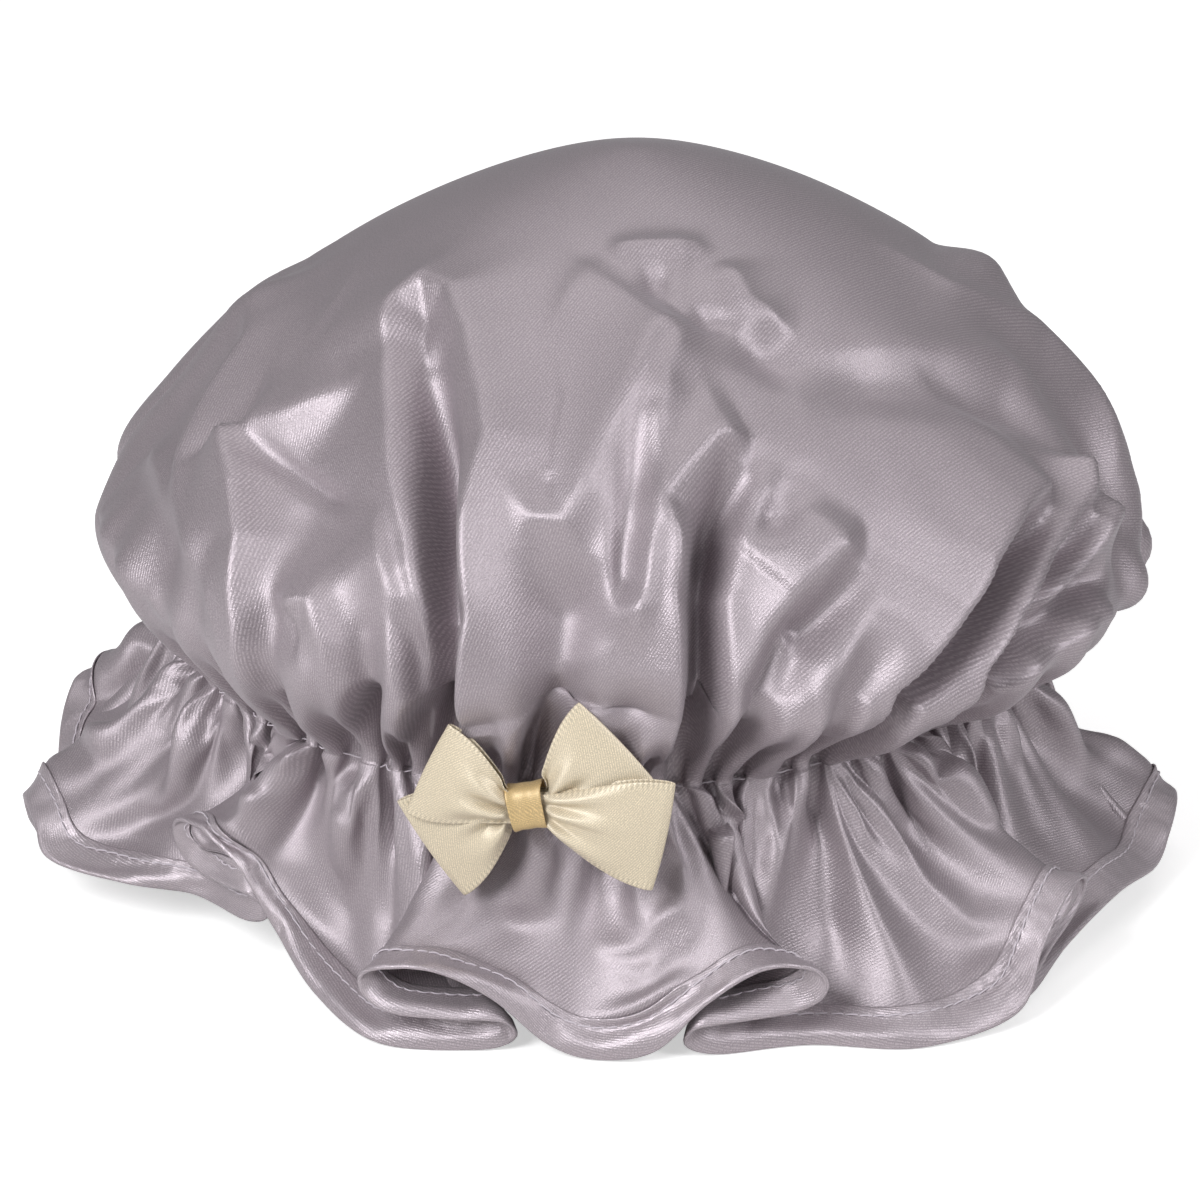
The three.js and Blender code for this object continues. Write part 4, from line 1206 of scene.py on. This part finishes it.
knot = knot_band()
knot_run, knot_wide = np.arange(72) / 72 * 34, np.linspace(-KNOT_HALF, KNOT_HALF, 17)
knot_uv = np.stack(np.broadcast_arrays(knot_run[:, None], knot_wide[None, :]), -1).reshape(-1, 2) * MM * 10
knot_faces = grid_faces(72, 17, closed_rows=True, closed_columns=False)
add_piece("bow_knot_ribbon", place_bow(knot), knot_faces, gold_ribbon, "bow_knot_band", knot_uv, 1, 0.4 * MM)

tack_turn = np.arange(24) / 24 * TURN
tack_out = np.linspace(GATHER_RADIUS + 1.5 * MM, BOW_RADIUS - 3.2 * MM, 9)
tack_radius = 0.55 * MM * (1 + 0.25 * np.cos(3 * (tack_turn[None, :] + tack_out[:, None] * 700)))
cos, sin = np.cos(BOW_TURN), np.sin(BOW_TURN)
tack_points = np.stack(
    [
        tack_out[:, None] * cos - tack_radius * np.cos(tack_turn) * sin,
        tack_out[:, None] * sin + tack_radius * np.cos(tack_turn) * cos,
        tack_radius * np.sin(tack_turn) + 0.5 * MM,
    ],
    -1,
)
tack_faces = grid_faces(9, 24) + [list(range(24)), list(range(24 * 8, 24 * 9))[::-1]]
add_piece("bow_tack_stitches", tack_points + CENTRE, tack_faces, thread, "bow_tack_thread")

# %% [markdown]
# ## The stage
#
# White paper under the cap keeps its shadow. A large softbox at the front left makes the satin's
# shine, a smaller one fills from the right, and a wide one hangs above.

# %% Stage
world = bpy.data.worlds.new("room")
scene.world = world
world.use_nodes = True
tree = world.node_tree
tree.nodes.clear()
path = node(tree, "ShaderNodeLightPath")
ambient = node(tree, "ShaderNodeBackground", Color=(0.96, 0.97, 1, 1), Strength=0.11)
backdrop = node(tree, "ShaderNodeBackground", Color=(1, 1, 1, 1), Strength=1.0)
camera_ray = path.outputs["Is Camera Ray"]
pick = node(tree, "ShaderNodeMixShader", [("Fac", camera_ray), (1, ambient.outputs[0]), (2, backdrop.outputs[0])])
node(tree, "ShaderNodeOutputWorld", [("Surface", pick.outputs[0])])

floor = mesh_object("floor", np.array([[-3, -3, 0], [3, -3, 0], [3, 3, 0], [-3, 3, 0]], float), [[0, 1, 2, 3]])
paper, tree = new_material("white paper backdrop")
path = node(tree, "ShaderNodeLightPath")
glow = node(tree, "ShaderNodeMath", [(0, path.outputs["Is Camera Ray"])], operation="MULTIPLY")
glow.inputs[1].default_value = 0.55
shader = node(tree, "ShaderNodeBsdfPrincipled", [("Emission Strength", glow.outputs[0])], Roughness=0.9)
shader.inputs["Base Color"].default_value = (0.82, 0.81, 0.80, 1)
shader.inputs["Emission Color"].default_value = (1, 1, 1, 1)
node(tree, "ShaderNodeOutputMaterial", [("Surface", shader.outputs[0])])
floor.data.materials.append(paper)


def area_light(name, place, size, power, colour=(1, 1, 1)):
    """A rectangular soft light, size (width, height), that looks at the middle of the cap."""
    light = bpy.data.lights.new(name, "AREA")
    light.shape = "RECTANGLE"
    light.size, light.size_y = size
    light.energy = power
    light.color = colour
    obj = bpy.data.objects.new(name, light)
    scene.collection.objects.link(obj)
    obj.location = place
    way = Vector((0, 0, 0.08)) - Vector(place)
    obj.rotation_euler = way.to_track_quat("-Z", "Y").to_euler()
    return obj


area_light("key_softbox", (-0.85, -1.05, 0.95), (0.65, 0.75), 24, (0.97, 0.985, 1))
area_light("fill_softbox", (1.15, -0.75, 0.85), (0.5, 0.8), 11, (0.97, 0.98, 1))
area_light("top_softbox", (0.1, 0.3, 1.5), (1.6, 1.3), 7.5)

# %% [markdown]
# ## Camera
#
# It looks at the bow's side from a little above, from far enough away for a long lens.

# %% Camera
ELEVATION = np.radians(22)
DISTANCE = 1.2
target = Vector(CENTRE) + Vector((0, 0, 58 * MM + FLOOR))
camera = bpy.data.objects.new("camera", bpy.data.cameras.new("camera"))
scene.collection.objects.link(camera)
camera.location = target + Vector((0, -np.cos(ELEVATION), np.sin(ELEVATION))) * DISTANCE
camera.rotation_euler = (target - camera.location).to_track_quat("-Z", "Y").to_euler()
camera.data.lens = 160
camera.data.clip_start = 0.05
scene.camera = camera
scene.view_settings.view_transform = "Standard"
